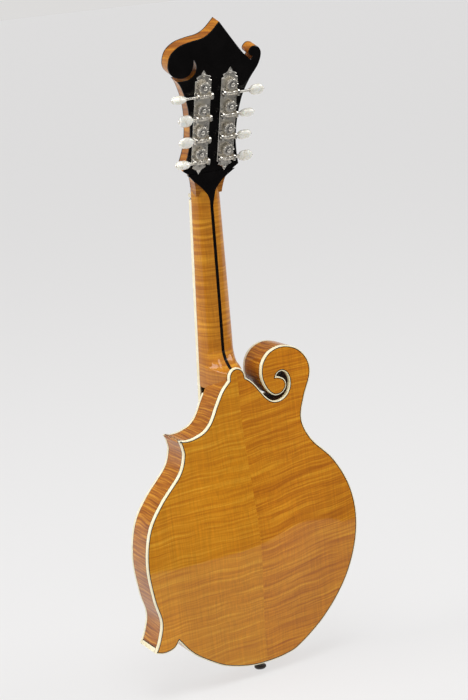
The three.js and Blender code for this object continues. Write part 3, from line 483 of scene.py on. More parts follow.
def spruce_wood(name):
    """Straight-grained softwood under amber lacquer: dark growth lines about a millimetre apart."""
    mat = new_material(name, 0.45, coat=0.5, coat_roughness=0.05)
    set_input(mat, "Specular IOR Level", 0.15)
    place = own_place(mat)
    lines = add_node(mat, "ShaderNodeTexWave", {
        "Vector": place, "Scale": 260.0, "Distortion": 1.2, "Detail": 2.0, "Detail Scale": 0.3,
    }, wave_type="BANDS", bands_direction="X", wave_profile="SAW").outputs["Fac"]
    colour = ramp(mat, lines, [
        (0.0, (0.62, 0.28, 0.035)), (0.7, (0.56, 0.23, 0.024)), (1.0, (0.38, 0.12, 0.010)),
    ])
    silk = spread(mat, stretched_noise(mat, (40, 40, 260), detail=2.0), 0.3, 0.7, 0.92, 1.08)
    set_input(mat, "Base Color", multiplied(mat, colour, silk))
    add_bump(mat, lines, 0.06, 0.0001)
    return mat


def pearl_plastic(name):
    """Pearl with soft clouds that shift from warm to cool white."""
    mat = new_material(name, 0.22, coat=0.6, coat_roughness=0.05)
    clouds = stretched_noise(mat, (180, 180, 180), detail=3.0, warp=1.5)
    set_input(mat, "Base Color", ramp(mat, clouds, [
        (0.3, (0.62, 0.60, 0.50)), (0.5, (0.86, 0.84, 0.76)), (0.7, (0.80, 0.82, 0.80)),
    ]))
    set_input(mat, "Subsurface Weight", 0.15)
    set_input(mat, "Subsurface Radius", (0.004, 0.003, 0.002))
    return mat


def ivory_plastic(name):
    """Ivory binding under lacquer, with faint streaks along it."""
    mat = new_material(name, 0.4, coat=0.4, coat_roughness=0.05)
    streaks = stretched_noise(mat, (120, 120, 120), detail=3.0, warp=0.5)
    stops = [(0.3, (0.86, 0.76, 0.48)), (0.7, (0.96, 0.89, 0.66))]
    set_input(mat, "Base Color", ramp(mat, streaks, stops))
    return mat


MAPLE_DARK = (0.42, 0.115, 0.001)
MAPLE_MIDDLE = (0.60, 0.205, 0.003)
MAPLE_LIGHT = (0.78, 0.34, 0.014)

looks = {
    # The two halves are one bookmatched maple; the treble half's lighter colours are painted light, for the
    # brighter look its flame takes from the lamps.
    "back_treble": maple("back maple, treble half, painted lighter", (0.50, 0.155, 0.002), (0.64, 0.24, 0.004),
                         (0.78, 0.36, 0.02), flame=0.7, band_mm=2.4, turn=math.radians(-2)),
    "back_bass": maple("back maple, bass half", MAPLE_DARK, MAPLE_MIDDLE, MAPLE_LIGHT, flame=0.72,
                       band_mm=2.3, turn=math.radians(-4)),
    "ribs": maple("rib maple", (0.26, 0.070, 0.003), (0.42, 0.135, 0.006), (0.62, 0.26, 0.02), flame=1.3,
                  band_mm=2.6, bent=True),
    "neck": maple("neck maple", (0.38, 0.115, 0.004), (0.52, 0.19, 0.009), (0.68, 0.30, 0.02), flame=1.0,
                  band_mm=3.2),
    "blocks": speckled("stained block", (0.09, 0.032, 0.008), 0.4, 120, 0.6),
    "head": maple("headstock maple", (0.22, 0.062, 0.003), (0.36, 0.120, 0.005), (0.54, 0.22, 0.014),
                  band_mm=3.0),
    "black": speckled("black lacquered veneer", (0.004, 0.0035, 0.0035), 0.3, 60, 0.1),
    "line": speckled("black line", (0.006, 0.005, 0.005), 0.3, 200, 0.2),
    "ivory": ivory_plastic("ivory binding"),
    "nickel": speckled("aged nickel", (0.90, 0.86, 0.78), 0.06, 160, 0.27, metallic=0.88),
    "steel": speckled("steel", (0.5, 0.49, 0.47), 0.1, 300, 0.3, metallic=1.0),
    "bronze": speckled("bronze winding", (0.52, 0.36, 0.19), 0.12, 600, 0.32, metallic=1.0),
    "pearl": pearl_plastic("white pearl"),
    "ebony": ebony_wood("ebony"),
    "bone": speckled("bone", (0.72, 0.66, 0.5), 0.08, 300, 0.45, bump=0.05),
    "spruce": spruce_wood("spruce"),
    "inner": speckled("bare inner wood", (0.5, 0.34, 0.18), 0.15, 90, 0.8, bump=0.1),
}
for dark in ("black", "line"):
    set_input(looks[dark], "Specular IOR Level", 0.3)

# ---------------------------------------------------------------- body

bass_side, slot_side, cutaway = curve(BASS_SIDE), curve(SLOT_SIDE), curve(CUTAWAY)
treble_side, lower_point, treble_tail = curve(TREBLE_SIDE), curve(LOWER_POINT), curve(TREBLE_TAIL)
back_outline = chain(bass_side, slot_side, curve(BUTTON_EDGE), cutaway, treble_side, lower_point, treble_tail)
top_outline = chain(
    bass_side, slot_side, curve([SLOT_SIDE[-1], CUTAWAY[0]]), cutaway, treble_side, lower_point, treble_tail,
)
# The top's binding stops on each side of the neck.
top_edge = [
    point for point in chain(cutaway, treble_side, lower_point, treble_tail, bass_side, slot_side)
    if abs(point.x) > JOINT_HALF_WIDTH + 2 or point.y < 290
]


def arch_height(x, z, rise):
    """Distance from the middle of the rim to the outside of an arched plate."""
    up = (z - ARCH["z"]) / (ARCH["up"] if z > ARCH["z"] else ARCH["down"])
    width = ARCH["half_width"] * (1 - ARCH["taper"] * max(up, 0))
    reach = min(math.hypot(x / width, up), 1)
    return BODY_HALF + rise * (1 + math.cos(math.pi * reach)) / 2


def inside(point, outline):
    """Whether a point is inside a closed outline."""
    hit = False
    for a, b in zip(outline, outline[1:] + outline[:1]):
        if (a.y > point.y) != (b.y > point.y):
            if point.x < a.x + (b.x - a.x) * (point.y - a.y) / (b.y - a.y):
                hit = not hit
    return hit


def plate(outline, rise, side, half=0, holes=(), spacing=4.0):
    """An arched plate as a fine net of triangles; half keeps one side of the centre seam."""
    loops = [outline, *holes]
    points, edges = [], []
    for loop in loops:
        base = len(points)
        points += loop
        edges += [(base + i, base + (i + 1) % len(loop)) for i in range(len(loop))]
    if half:
        base = len(points)
        seam = [Vector((0, k * spacing)) for k in range(-1, 87)]
        points += seam
        edges += [(base + i, base + i + 1) for i in range(len(seam) - 1)]
    rows = [
        Vector((i * spacing, k * spacing)) for i in range(-34, 35) for k in range(0, 88)
        if not half or i
    ]
    edge_points = [p for loop in loops for p in loop]
    near = {(round(p.x / spacing), round(p.y / spacing)) for p in edge_points}
    points += [
        p for p in rows
        if (round(p.x / spacing), round(p.y / spacing)) not in near and inside(p, outline)
    ]
    flat, _, faces, *_ = geometry.delaunay_2d_cdt(points, edges, [], 1, 1e-5)
    kept = []
    for face in faces:
        middle = sum((flat[i] for i in face), Vector((0, 0))) / 3
        if half * middle.x < 0 or not inside(middle, outline) or any(inside(middle, h) for h in holes):
            continue
        kept.append(tuple(face))
    rim = {}
    for face in kept:
        for a, b in zip(face, face[1:] + face[:1]):
            if rim.pop((b, a), None) is None:
                rim[(a, b)] = True
    total = len(flat)
    outer = [(p.x, side * arch_height(p.x, p.y, rise), p.y) for p in flat]
    inner = [
        (x, side * (abs(y) - PLATE_THICKNESS if abs(y) > BODY_HALF + 0.01 else RIM_HALF + JOINT_GAP), z)
        for x, y, z in outer
    ]
    faces = kept + [tuple(total + i for i in reversed(face)) for face in kept]
    faces += [(b, a, total + a, total + b) for a, b in rim]
    used = sorted({i for face in faces for i in face})
    index = {old: new for new, old in enumerate(used)}
    both = outer + inner
    return [both[i] for i in used], [tuple(index[i] for i in face) for face in faces]


def sound_hole(side):
    """One f-shaped hole's outline: a tapered slot with a round at each end."""
    line = curve([(52, 212), (45, 203), (51, 184), (62, 160), (71, 138), (70, 122), (62, 115)], 3)
    left, right = [], []
    for i, point in enumerate(line):
        width = lerp(1.6, 4, math.sin(math.pi * i / (len(line) - 1)))
        ahead = (line[min(i + 1, len(line) - 1)] - line[max(i - 1, 0)]).normalized()
        across = Vector((ahead.y, -ahead.x)) * width
        left.append(point + across)
        right.append(point - across)
    # Each end opens into a round that takes the place of the slot's tip.
    head = arc((54, 208), 4.4, 200, -120)
    foot = arc((61, 119), 5.4, 20, -300)
    loop = right[::-1][3:-3] + head + left[3:-3] + foot
    return mirrored(loop) if side < 0 else loop


def add_back():
    for name, side in SIDES.items():
        shape = plate(offset(back_outline, BINDING), BACK_RISE, 1, half=side)
        piece(f"back_{name}_half", *shape, TO_ROW, looks[f"back_{name}"], "flamed_maple", smooth=50,
              replaces=[f"back_plate_{name}"])


def add_bindings():
    """Ivory round the back and the top, with a black line inside it and another under it."""
    edges = {"back": (back_outline, 1, True), "top": (top_edge, -1, False)}
    under_line = 0.35
    for name, (outline, side, closed) in edges.items():
        low, high = side * (RIM_HALF + JOINT_GAP), side * BODY_HALF
        rounded = [(0, low), (0, high - side * 0.7), (0.25, high - side * 0.2), (0.7, high)]
        ivory = band(outline, [*rounded, (IVORY_FACE, high), (IVORY_FACE, low)], closed)
        piece(f"{name}_binding_strip", *ivory, TO_ROW, looks["ivory"], "ivory_binding",
              replaces=[f"{name}_binding"])
        line = band(outline, rectangle(IVORY_FACE, BINDING, low, high), closed)
        piece(f"{name}_black_line", *line, TO_ROW, looks["line"], "black_gloss")
        under = band(outline, rectangle(0.08, BINDING, side * (RIM_HALF - under_line), low), closed)
        piece(f"{name}_side_line", *under, TO_ROW, looks["line"], "black_gloss")


def rectangle(near, far, low, high):
    """A band's section between two distances inside the outline and two heights."""
    return [(near, low), (near, high), (far, high), (far, low)]


def add_ribs():
    """The bent sides, and the ivory down the two body points."""
    upper, lower = 2.2, 4.6
    line_width = 1.0
    depth = RIM_HALF - JOINT_GAP
    proud = -0.05
    points = {"upper": part_of(treble_side, 0, upper), "lower": part_of(treble_side, -lower, 0)}
    for name, line in points.items():
        shape = band(line, rectangle(proud, RIB, -depth, depth), closed=False)
        piece(f"{name}_point_ivory", *shape, TO_ROW, looks["ivory"], "ivory_binding",
              replaces=[f"{name}_point_strip"])
    edge_line = part_of(treble_side, -lower - line_width, -lower)
    shape = band(edge_line, rectangle(0, RIB, -depth, depth), closed=False)
    piece("lower_point_black_line", *shape, TO_ROW, looks["line"], "black_gloss")
    shape = band(part_of(lower_point, 0, 2.4), rectangle(proud, 1, -depth, depth), closed=False)
    piece("lower_point_ivory_end", *shape, TO_ROW, looks["ivory"], "ivory_binding")
    ribs = {
        "bass": treble_tail[:-1] + bass_side,
        "cutaway": cutaway,
        "treble": part_of(treble_side, 0, -lower - line_width),
    }
    for name, line in ribs.items():
        section = rectangle(0, RIB, -depth, depth)
        along = [length * MM for length in lengths_along(line) for _ in section]
        shape = band(line, section, closed=False)
        piece(f"rib_{name}_strip", *shape, TO_ROW, looks["ribs"], "flamed_maple", replaces=[f"rib_{name}"],
              along=along)


def add_soundboard():
    holes = [sound_hole(1), sound_hole(-1)]
    shape = plate(offset(top_outline, BINDING), TOP_RISE, -1, holes=holes)
    piece("soundboard", *shape, TO_ROW, looks["spruce"], "spruce_top", smooth=50, replaces=["top_plate"])


# ---------------------------------------------------------------- neck


def neck_length(z):
    return (z - NUT_Z) / math.cos(NECK_ANGLE)


def fret_place(fret):
    return -SCALE_LENGTH * (1 - 2 ** (-fret / 12))


def half_width_at(along):
    return lerp(NUT_HALF_WIDTH, JOINT_HALF_WIDTH, along / fret_place(JOINT_FRET))


# Stations down the neck: place on Z, depth below the fingerboard, turn into the heel from 0 to 1.
NECK_STATIONS = [
    (520, 14.6, 0), (506, 15.6, 0), (430, 18.2, 0), (372, 19.6, 0), (350, 20, 0.06), (342, 21, 0.3),
    (335, 25.5, 0.6), (329, 33, 0.9), (326, 42.5, 1), (318, 43, 1), (304, 43, 1),
]
ROUND_STEPS = 24
FLAT_SIDE = 1.5  # the straight part of the neck's side next to the fingerboard


def neck_section(width, depth, heel, side):
    """Half a section, from the fingerboard's edge round to the black strip, as (x, y)."""
    points = []
    edge = BUTTON_HALF_WIDTH - 0.5
    corner = 0.78  # the share of the way round where the heel's cheek ends and its cap starts
    for i in range(ROUND_STEPS + 1):
        way = i / ROUND_STEPS
        angle = way * math.pi / 2
        oval = Vector((width * math.cos(angle), FLAT_SIDE + (depth - FLAT_SIDE) * math.sin(angle) ** 0.94))
        down = min(way / corner, 1)
        across = lerp(edge, LAMINATION_HALF, max(way - corner, 0) / (1 - corner))
        cheek = Vector((lerp(width, edge, down**1.9) if down < 1 else across, depth * down))
        point = oval.lerp(cheek, heel)
        points.append((side * max(point.x, LAMINATION_HALF), point.y))
    return points


def add_neck():
    stations = curve([Vector(s) for s in NECK_STATIONS], 5)
    for name, side in SIDES.items():
        rings = []
        for z, depth, heel in stations:
            along = neck_length(z)
            section = neck_section(half_width_at(along), depth, min(max(heel, 0), 1), side)
            section = [(side * LAMINATION_HALF, 0), (section[0][0], 0), *section]
            rings.append([(x, y, along) for x, y in section])
        piece(f"neck_{name}_half", *grid(rings), NECK, looks["neck"], "flamed_maple", smooth=60,
              replaces=[f"neck_{name}"])
    rings = []
    for z, depth, heel in stations:
        half = LAMINATION_HALF
        rings.append([(x, y, neck_length(z)) for x, y in
                      [(-half, 0), (half, 0), (half, depth - 0.05), (0, depth), (-half, depth - 0.05)]])
    piece("neck_black_strip", *grid(rings), NECK, looks["black"], "black_gloss", replaces=["neck_lamination"])


def add_tongue():
    """The black veneer's tongue, laid over the back of the neck below the headstock."""
    rows, columns = 36, 16
    low, high = -22, 15
    blend = 1.6  # how gently the neck's round turns into the headstock's flat back
    flare_line = mirrored(HEAD_FLARE)
    outer, inner = [], []
    to_neck = NECK.inverted() @ HEAD
    for r in range(rows + 1):
        s = lerp(low, high, r / rows)
        z = HEAD_Z + s * math.cos(HEAD_TILT)
        along = neck_length(z)
        width = half_width_at(along)
        depth = lerp(15.6, 14.6, (z - NUT_Z) / (HEAD_Z - NUT_Z))
        flare = height_to_width(flare_line, s) - 0.15
        treble, bass = (min(height_to_width(edge, s), flare) for edge in (TONGUE_TREBLE, TONGUE_BASS))
        line_outer, line_inner = [], []
        for c in range(columns + 1):
            x = lerp(-bass, treble, c / columns)
            round_part = max(1 - (x / width) ** 2, 0) ** 0.47
            oval = FLAT_SIDE + (depth - FLAT_SIDE) * round_part if abs(x) < width else 0
            plane = (to_neck @ Vector((x, 0, s))).y
            y = max(oval, plane) + math.exp(-abs(oval - plane) / blend) * 0.5
            line_outer.append((x, y + 0.12, along))
            line_inner.append((x, y - 0.9, along))
        outer.append(line_outer)
        inner.append(line_inner[::-1])
    rings = [a + b for a, b in zip(outer, inner)]
    piece("veneer_tongue", *grid(rings), NECK, looks["black"], "black_gloss", smooth=60)


def height_to_width(edge, s):
    """The half width of the tongue's edge line at a place up the headstock."""
    line = curve(edge, 4)
    for a, b in zip(line, line[1:]):
        if b.y <= s <= a.y:
            return lerp(b.x, a.x, (s - b.y) / max(a.y - b.y, 1e-6))
    return line[0].x if s > line[0].y else line[-1].x


# ---------------------------------------------------------------- headstock

head_top = [curve(line) for line in (HEAD_TREBLE, HEAD_TREBLE_SLOT, HEAD_BULGE, HEAD_CREST, HEAD_CURL)]
head_outline = chain(*head_top, curve(HEAD_FLARE), curve(mirrored(HEAD_FLARE)[::-1]))
VENEER_BASE = [(-31.5, 17.5), (-24, 12), (-14, 3.5), (0, 1.5), (14, 3.5), (24, 12), (31.5, 17.5)]


def add_headstock():
    core = slab(head_outline, -HEAD_THICKNESS + VENEER, -VENEER, 0.02)
    piece("headstock_core", *core, HEAD, looks["head"], "flamed_maple")
    back = slab(chain(*head_top, curve(VENEER_BASE)), -VENEER, 0, 0.3)
    piece("headstock_back", *back, HEAD, looks["black"], "black_gloss", replaces=["headstock_back_veneer"])
    face = [p for p in head_outline if p.y > -9.5]
    front = slab(face, -HEAD_THICKNESS, -HEAD_THICKNESS + VENEER, 0.3)
    piece("headstock_front", *front, HEAD, looks["black"], "black_gloss", replaces=["headstock_front_veneer"])


# ---------------------------------------------------------------- tuners

PLATE = {"inner": 5.7, "outer": 23.7, "low": 24, "high": 113.5, "arrow": 11, "thickness": 1.2}


def cog(teeth, root, tip):
    """A toothed wheel's outline, as (x, z)."""
    points = []
    for i in range(teeth):
        for part, radius in ((-0.3, root), (-0.17, tip), (0.17, tip), (0.3, root)):
            angle = 2 * math.pi * (i + part) / teeth
            points.append(Vector((-radius * math.cos(angle), radius * math.sin(angle))))
    return points


def screw_head(centre, radius, height):
    """A low domed screw head on the +Y side."""
    profile = [
        (0.01, -0.2), (radius, -0.2), (radius, height * 0.45), (radius * 0.75, height * 0.85),
        (radius * 0.3, height), (0.01, height),
    ]
    return turned(profile, "y", 16, centre)


def disc(radius, low, high):
    """The profile of a flat disc between two heights."""
    return [(0.01, low), (radius, low), (radius, high), (0.01, high)]


def button_shape(start, turn):
    """A pearl button: an oval, flattened body with a collar at its shaft."""
    rings = []
    for k in range(15):
        t = k / 14
        swell = (1 - abs(2 * t - 1) ** 2.4) ** 0.5
        wide, thin = 1.9 + 4.2 * swell, 1.7 + 2.5 * swell
        rings.append([(x, v, u) for x, u, v in ring(wide, start + BUTTON_LENGTH * t, 24, "x", thin / wide)])
    collar = [(x, v, u) for x, u, v in ring(2.2, start - 0.8, 24)]
    shape = grid([collar, *rings])
    return moved(shape, Matrix.Rotation(-turn, 4, "X"))


def worm_shape(middle, length):
    """A worm: a helical ridge round the shaft."""
    turns = 6
    steps = turns * 14
    ridge = 0.6
    reach = WORM_RADIUS - ridge - 0.05
    path = []
    for i in range(steps + 1):
        a = 2 * math.pi * turns * i / steps
        path.append((middle + length * (i / steps - 0.5), reach * math.cos(a), reach * math.sin(a)))
    return tube(path, ridge, 6)


def add_tuner_plate(name, side):
    middle = (PLATE["inner"] + PLATE["outer"]) / 2
    wing = (PLATE["outer"] - PLATE["inner"]) / 2
    base = 0.3
    face = base + PLATE["thickness"]
    arrow = [(wing, 0), (wing - 2.6, 1.2), (wing - 1.2, 3.6), (2.6, 6.2), (1.6, 8.5), (0, PLATE["arrow"])]
    tip = [Vector(p) for p in arrow] + [Vector((-x, z)) for x, z in arrow[-2::-1]]
    upper = [Vector((middle + p.x, PLATE["high"] + p.y)) for p in tip]
    lower = [Vector((middle - p.x, PLATE["low"] - p.y)) for p in tip]
    parts = [slab(upper + lower, base, face, 0.3)]
    for height in SHAFT_HEIGHTS:
        for x, wide in ((PLATE["inner"] + 0.3, 2.2), (PLATE["outer"] - 2.3, 2.0)):
            parts.append(bracket(x, wide, height))
    screws = [(middle, PLATE["high"] + 6.0), (middle, PLATE["low"] - 6.0)]
    screws += [(PLATE["inner"] + 3, (a + b) / 2 + 6) for a, b in zip(POST_HEIGHTS, POST_HEIGHTS[1:])]
    parts += [screw_head((x, face, z), 1.5, 0.9) for x, z in screws]
    mirror = Matrix.Diagonal((side, 1, 1, 1))
    shape = moved(merged(*parts), mirror)
    piece(f"tuner_base_{name}", *shape, HEAD, looks["nickel"], "nickel", replaces=[f"tuner_plate_{name}"])
    # Thin black plates paint the inner ears' faces dark; they are painted darkness, not recesses.
    shade = moved(merged(*(bracket_face(height) for height in SHAFT_HEIGHTS)), mirror)
    piece(f"bracket_painted_dark_faces_{name}", *shade, HEAD, looks["line"], "black_gloss")


def bracket(x, wide, height):
    """A square ear that carries a shaft."""
    half, top, cut = 3.3, SHAFT_OUT + 2.9, 0.9
    section = [
        (half, 1), (half, top - cut), (half - cut, top), (cut - half, top), (-half, top - cut), (-half, 1),
    ]
    rings = [[(px, y, height + z * scale) for z, y in section]
             for px, scale in ((x, 0.9), (x + 0.3, 1), (x + wide - 0.3, 1), (x + wide, 0.9))]
    return grid(rings)


def bracket_face(height):
    """A thin black plate on the face of an inner ear, which paints that face dark; no recess is cut there."""
    start = PLATE["inner"] + 0.25
    half, low, high = 2.3, 1.9, 6.6
    section = [(half, low), (half, high), (-half, high), (-half, low)]
    return grid([[(x, y, height + z) for z, y in section] for x in (start, start + 0.8)])


def add_tuners():
    for name, side in SIDES.items():
        add_tuner_plate(name, side)
        for i in range(len(POST_HEIGHTS)):
            add_post(name, side, i)
            add_button(name, side, i)


def add_post(name, side, i):
    """A string post with its gear, the gear's screw and the ferrule on the front."""
    centre = (side * POST_OFFSET, 0, POST_HEIGHTS[i])
    low, high = SHAFT_OUT - GEAR_HALF, SHAFT_OUT + GEAR_HALF
    front = -HEAD_THICKNESS
    end = front - POST_REACH
    gear = moved(slab(cog(GEAR_TEETH, 5.2, GEAR_RADIUS), low, high, 0.2), Matrix.Translation(centre))
    hub = screw_head((centre[0], high, centre[2]), 2.3, 1.5)
    post = turned([
        (0.01, end), (1.8, end), (POST_RADIUS, end + 0.8), (POST_RADIUS, end + 2.6), (POST_WAIST, end + 3.4),
        (POST_WAIST, end + 6.4), (POST_RADIUS, end + 7.4), (POST_RADIUS, low), (0.01, low),
    ], "y", 24, centre)
    body = f"tuner_post_{name}_{i + 1}"
    piece(f"post_and_gear_{name}_{i + 1}", *merged(gear, hub, post), HEAD, looks["nickel"], "nickel",
          body=body, replaces=[body])
    # The dark ring round the gear's screw is a painted shadow, not a washer.
    painted_shadow_ring = turned(disc(2.9, high - 0.2, high + 0.12), "y", 20, centre)
    piece(f"gear_washer_{name}_{i + 1}", *painted_shadow_ring, HEAD, looks["line"], "black_gloss", body=body)
    ferrule = turned([
        (3.3, front - 0.02), (4.9, front - 0.02), (4.7, front - 0.7), (3.9, front - 1.2), (3.2, front - 1.2),
        (3.3, front - 0.02),
    ], "y", 24, centre)
    piece(f"ferrule_{name}_{i + 1}", *ferrule, HEAD, looks["nickel"], "nickel")


def add_button(name, side, i):
    """A worm on its shaft, with the pearl button and its end screw."""
    body = f"tuner_button_{name}_{i + 1}"
    start = BUTTON_START[i]
    stop = start + BUTTON_LENGTH
    place = Matrix.Translation((0, SHAFT_OUT, SHAFT_HEIGHTS[i])) @ Matrix.Diagonal((side, 1, 1, 1))
    shaft = turned([
        (0.01, 5.1), (1.1, 5.1), (SHAFT_RADIUS, 5.5), (SHAFT_RADIUS, start - 1.4), (2.0, start - 1.2),
        (2.0, start - 0.2), (0.01, start - 0.2),
    ], "x", 16)
    worm = worm_shape(POST_OFFSET, 9.4)
    screw = turned([
        (0.01, stop - 0.5), (1.5, stop - 0.5), (1.5, stop + 0.6), (1.0, stop + 1), (0.01, stop + 1),
    ], "x", 14)
    piece(f"worm_shaft_{name}_{i + 1}", *moved(merged(shaft, worm, screw), place), HEAD, looks["nickel"],
          "nickel", body=body)
    knob = button_shape(start, math.radians(BUTTON_TURN[name][i]))
    piece(f"button_{name}_{i + 1}", *moved(knob, place), HEAD, looks["pearl"], "pearl", body=body, smooth=60,
          replaces=[body])


# ---------------------------------------------------------------- fingerboard and strings

COURSES = {
    "e": {"radius": 0.14, "nut": 11.2, "saddle": 19.2, "tail": 17, "posts": (1, 0), "look": "steel"},
    "a": {"radius": 0.19, "nut": 3.75, "saddle": 6.4, "tail": 5.8, "posts": (3, 2), "look": "steel"},
    "d": {"radius": 0.33, "nut": -3.75, "saddle": -6.4, "tail": -5.8, "posts": (3, 2), "look": "bronze"},
    "g": {"radius": 0.51, "nut": -11.2, "saddle": -19.2, "tail": -17, "posts": (1, 0), "look": "bronze"},
}
BOARD_TOP = -BOARD_GAP - FINGERBOARD
BOARD_END = fret_place(LAST_FRET) - 5
DOTS = {3: [0], 5: [0], 7: [0], 10: [0], 12: [-6, 6], 15: [0], 17: [0]}


def fret_shape(fret):
    """A fret: a low round crown across the fingerboard, narrower at its ends."""
    z = fret_place(fret)
    half = half_width_at(z) - 0.6
    wide, tall, end = 0.75, 0.85, 0.4
    angles = [math.pi * k / 8 for k in range(9)]
    dome = [(BOARD_TOP - tall * math.sin(a), -wide * math.cos(a)) for a in angles]
    crown = [(BOARD_TOP + 0.1, -wide), *dome, (BOARD_TOP + 0.1, wide)]
    stations = ((-half, 0.7), (-half + end, 1), (half - end, 1), (half, 0.7))
    return grid([[(x, y, z + d * scale) for y, d in crown] for x, scale in stations])


def add_fingerboard():
    inset = 1.8
    corners = [(-1, -BOARD_GAP), (1, -BOARD_GAP), (1, BOARD_END + inset), (-1, BOARD_END + inset)]
    outline = [Vector((sign * (half_width_at(z) - inset), z)) for sign, z in corners]
    board = slab(outline, BOARD_TOP, -BOARD_GAP, 0.15)
    piece("ebony_board", *board, NECK, looks["ebony"], "ebony", replaces=["fingerboard"])
    frets = [fret_shape(fret) for fret in range(1, LAST_FRET + 1)]
    piece("frets", *merged(*frets), NECK, looks["steel"], "steel")
    dots = []
    for fret, places in DOTS.items():
        z = (fret_place(fret) + fret_place(fret - 1)) / 2
        dots += [turned(disc(2.4, BOARD_TOP - 0.03, BOARD_TOP + 0.4), "y", 24, (x, 0, z)) for x in places]
    piece("position_dots", *merged(*dots), NECK, looks["pearl"], "pearl")


def add_strings():
    """Each string in two pieces: its tail end, and its speaking length with the wraps on its post."""
    nut_place = TO_ROW.inverted() @ NECK @ Vector((0, BOARD_TOP - 0.8, 2))
    for name, course in COURSES.items():
        side = 1 if course["nut"] > 0 else -1
        look = looks[course["look"]]
        slot = "plain_string" if name in "ea" else "wound_string"
        radius = course["radius"]
        for number, twin in ((1, 1), (2, -1)):
            height = POST_HEIGHTS[course["posts"][0 if twin * side < 0 else 1]]
            x_at = {end: course[end] + twin * gap for end, gap in TWIN_HALF.items()}
            crown = abs(x_at["saddle"]) * 0.04
            saddle = Vector((x_at["saddle"], SADDLE_TOP_Y - 0.35 - radius + crown, BRIDGE_Z))
            tail = Vector((x_at["tail"], TAIL_HOOK["y"] - radius, TAIL_HOOK["z"]))
            nut = Vector((x_at["nut"], nut_place.y - 0.3 - radius, nut_place.z))
            on_post = post_point(side, height, radius, 0, 0)
            ends = [tail.lerp(saddle, i / 16) for i in range(17)]
            path = [saddle.lerp(nut, i / 40) for i in range(41)]
            path += [nut.lerp(on_post, i / 4) for i in range(1, 5)]
            path += post_wraps(side, height, radius)
            node = f"string_{name}_{number}"
            tail_piece = piece(f"{node}_tail_end", *tube(ends, radius * 1.05), TO_ROW, look, slot)
            main = piece(f"{node}_length", *tube(path, radius), TO_ROW, look, slot, replaces=[node])
            for obj, first, second, start, end in (
                (tail_piece, "body", "bridge_saddle", tail, saddle),
                (main, "bridge_saddle", "body", saddle, nut),
            ):
                obj.parent = None
                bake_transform(obj)


def post_point(side, height, radius, angle, rise):
    """A place on a post's waist for a string of a radius, in the instrument's frame."""
    reach = POST_WAIST + radius
    x = side * (POST_OFFSET - reach * math.cos(angle))
    y = -HEAD_THICKNESS - 7.1 + rise
    return TO_ROW.inverted() @ HEAD @ Vector((x, y, height + reach * math.sin(angle)))


def post_wraps(side, height, radius):
    """Three turns of a string round the waist of its post."""
    turns, steps = 3, 14
    return [
        post_point(side, height, radius, 2 * math.pi * i / steps, 2 * radius * i / steps)
        for i in range(1, turns * steps + 1)
    ]


# ---------------------------------------------------------------- carried-over CAD nodes


def paint_nodes():
    """Gives each CAD node that still shows its procedural material."""
    choice = {
        "head_block": "blocks", "upper_point_block": "blocks", "lower_point_block": "neck",
        "fingerboard_binding": "ivory", "bridge_base": "ebony", "bridge_saddle": "ebony", "end_pin": "ebony",
        "nut": "bone", "truss_rod": "steel", "truss_rod_nut": "steel", "truss_rod_cover": "black",
        "bridge_wheel_treble": "nickel", "bridge_wheel_bass": "nickel", "tailpiece": "nickel",
        "tail_block": "inner", "back_lining": "inner", "top_lining": "inner", "x_brace": "inner",
    }
    for node, look in choice.items():
        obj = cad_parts[node]
        obj.data.materials.clear()
        obj.data.materials.append(looks[look])


# ---------------------------------------------------------------- room, light and camera


def staged(name, corners, height, material):
    """A flat sheet of the studio, not part of the instrument."""
    mesh = bpy.data.meshes.new(name)
    mesh.from_pydata([(x, y, 0) for x, y in corners], [], [(0, 1, 2, 3)])
    mesh.materials.append(material)
    sheet = bpy.data.objects.new(name, mesh)
    sheet.location.z = height
    bpy.context.scene.collection.objects.link(sheet)
    return sheet


def add_room():
    """An even, pale floor that glows a little, under a sky that is pale at the horizon and dim above."""
    pale = new_material("pale floor", 0.7)
    set_input(pale, "Base Color", (0.15, 0.15, 0.15, 1))
    set_input(pale, "Emission Color", (1.0, 0.99, 0.985, 1))
    set_input(pale, "Emission Strength", 0.68)
    set_input(pale, "Specular IOR Level", 0.1)
    far = 60
    staged("floor", [(-far, -far), (far, -far), (far, far), (-far, far)], -0.0005, pale)
    add_flag()
    world = bpy.data.worlds.new("studio")
    world.use_nodes = True
    direction = add_node(world, "ShaderNodeTexCoord").outputs["Generated"]
    height = add_node(world, "ShaderNodeSeparateXYZ", {"Vector": direction}).outputs["Z"]
    horizon, overhead = (0.72, 0.71, 0.70), (0.2, 0.2, 0.21)
    sky = ramp(world, height, [(0.0, horizon), (0.05, horizon), (0.2, overhead)])
    world.node_tree.links.new(sky, world.node_tree.nodes["Background"].inputs["Color"])
    bpy.context.scene.world = world
    bpy.context.scene.view_settings.view_transform = "Standard"


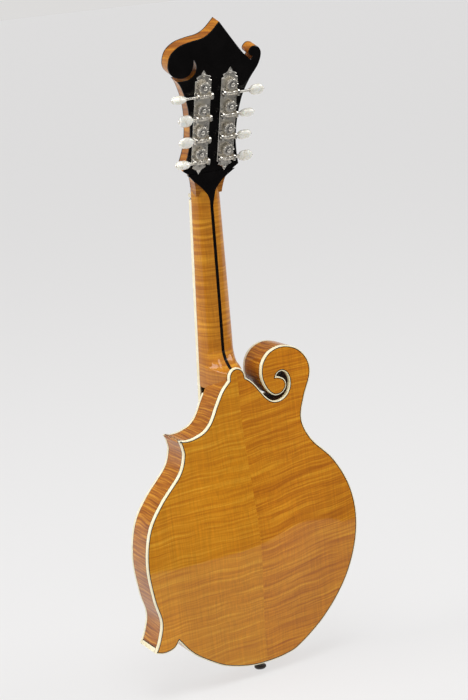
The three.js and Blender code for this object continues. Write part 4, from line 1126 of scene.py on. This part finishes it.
def add_flag():
    """A black card that only reflections see: it ends the pale floor's reflection on the back."""
    near, far, half = 0.40, 12, 9
    black = new_material("black card", 1.0)
    set_input(black, "Base Color", (0.02, 0.02, 0.02, 1))
    flag = staged("flag", [(-half, near), (half, near), (half, far), (-half, far)], 0.001, black)
    flag.visible_camera = False
    flag.visible_diffuse = False
    flag.visible_shadow = False
    flag.visible_transmission = False


def direction_to(azimuth, elevation):
    """The unit vector from the instrument towards a viewpoint, given in degrees."""
    a, e = math.radians(azimuth), math.radians(elevation)
    return Vector((math.sin(a) * math.cos(e), -math.cos(a) * math.cos(e), math.sin(e)))


def add_light(name, azimuth, elevation, distance, size, power):
    """A square soft light aimed at the middle of the mandolin."""
    back = direction_to(azimuth, elevation)
    data = bpy.data.lights.new(name, "AREA")
    data.energy = power
    data.size = size
    light = bpy.data.objects.new(name, data)
    light.location = Vector((0, 0, 0.33)) + back * distance
    light.rotation_mode = "QUATERNION"
    light.rotation_quaternion = back.to_track_quat("Z", "Y")
    bpy.context.scene.collection.objects.link(light)


def add_camera():
    """A long lens behind the treble side, a little above and slightly rolled."""
    back = direction_to(153.65, 12.272)
    roll = math.radians(-6.245)
    right = (-back).cross(Vector((0, 0, 1))).normalized()
    up = right.cross(-back)
    turned_right = right * math.cos(roll) + up * math.sin(roll)
    turned_up = up * math.cos(roll) - right * math.sin(roll)
    data = bpy.data.cameras.new("camera")
    data.lens = 88.21
    data.sensor_width = 36
    camera = bpy.data.objects.new("camera", data)
    camera.matrix_world = Matrix.Translation((0.77111, 1.57696, 0.73750)) @ Matrix(
        (turned_right, turned_up, back)).transposed().to_4x4()
    bpy.context.scene.collection.objects.link(camera)
    bpy.context.scene.camera = camera


add_back()
add_bindings()
add_ribs()
add_soundboard()
add_neck()
add_tongue()
add_headstock()
add_tuners()
add_fingerboard()
add_strings()
paint_nodes()
add_room()
add_light("overhead", 150, 72, 2.2, 1.6, 44)
add_light("left", 75, 35, 2.4, 1.2, 28)
add_light("right", 240, 40, 2.4, 1.0, 20)
add_camera()
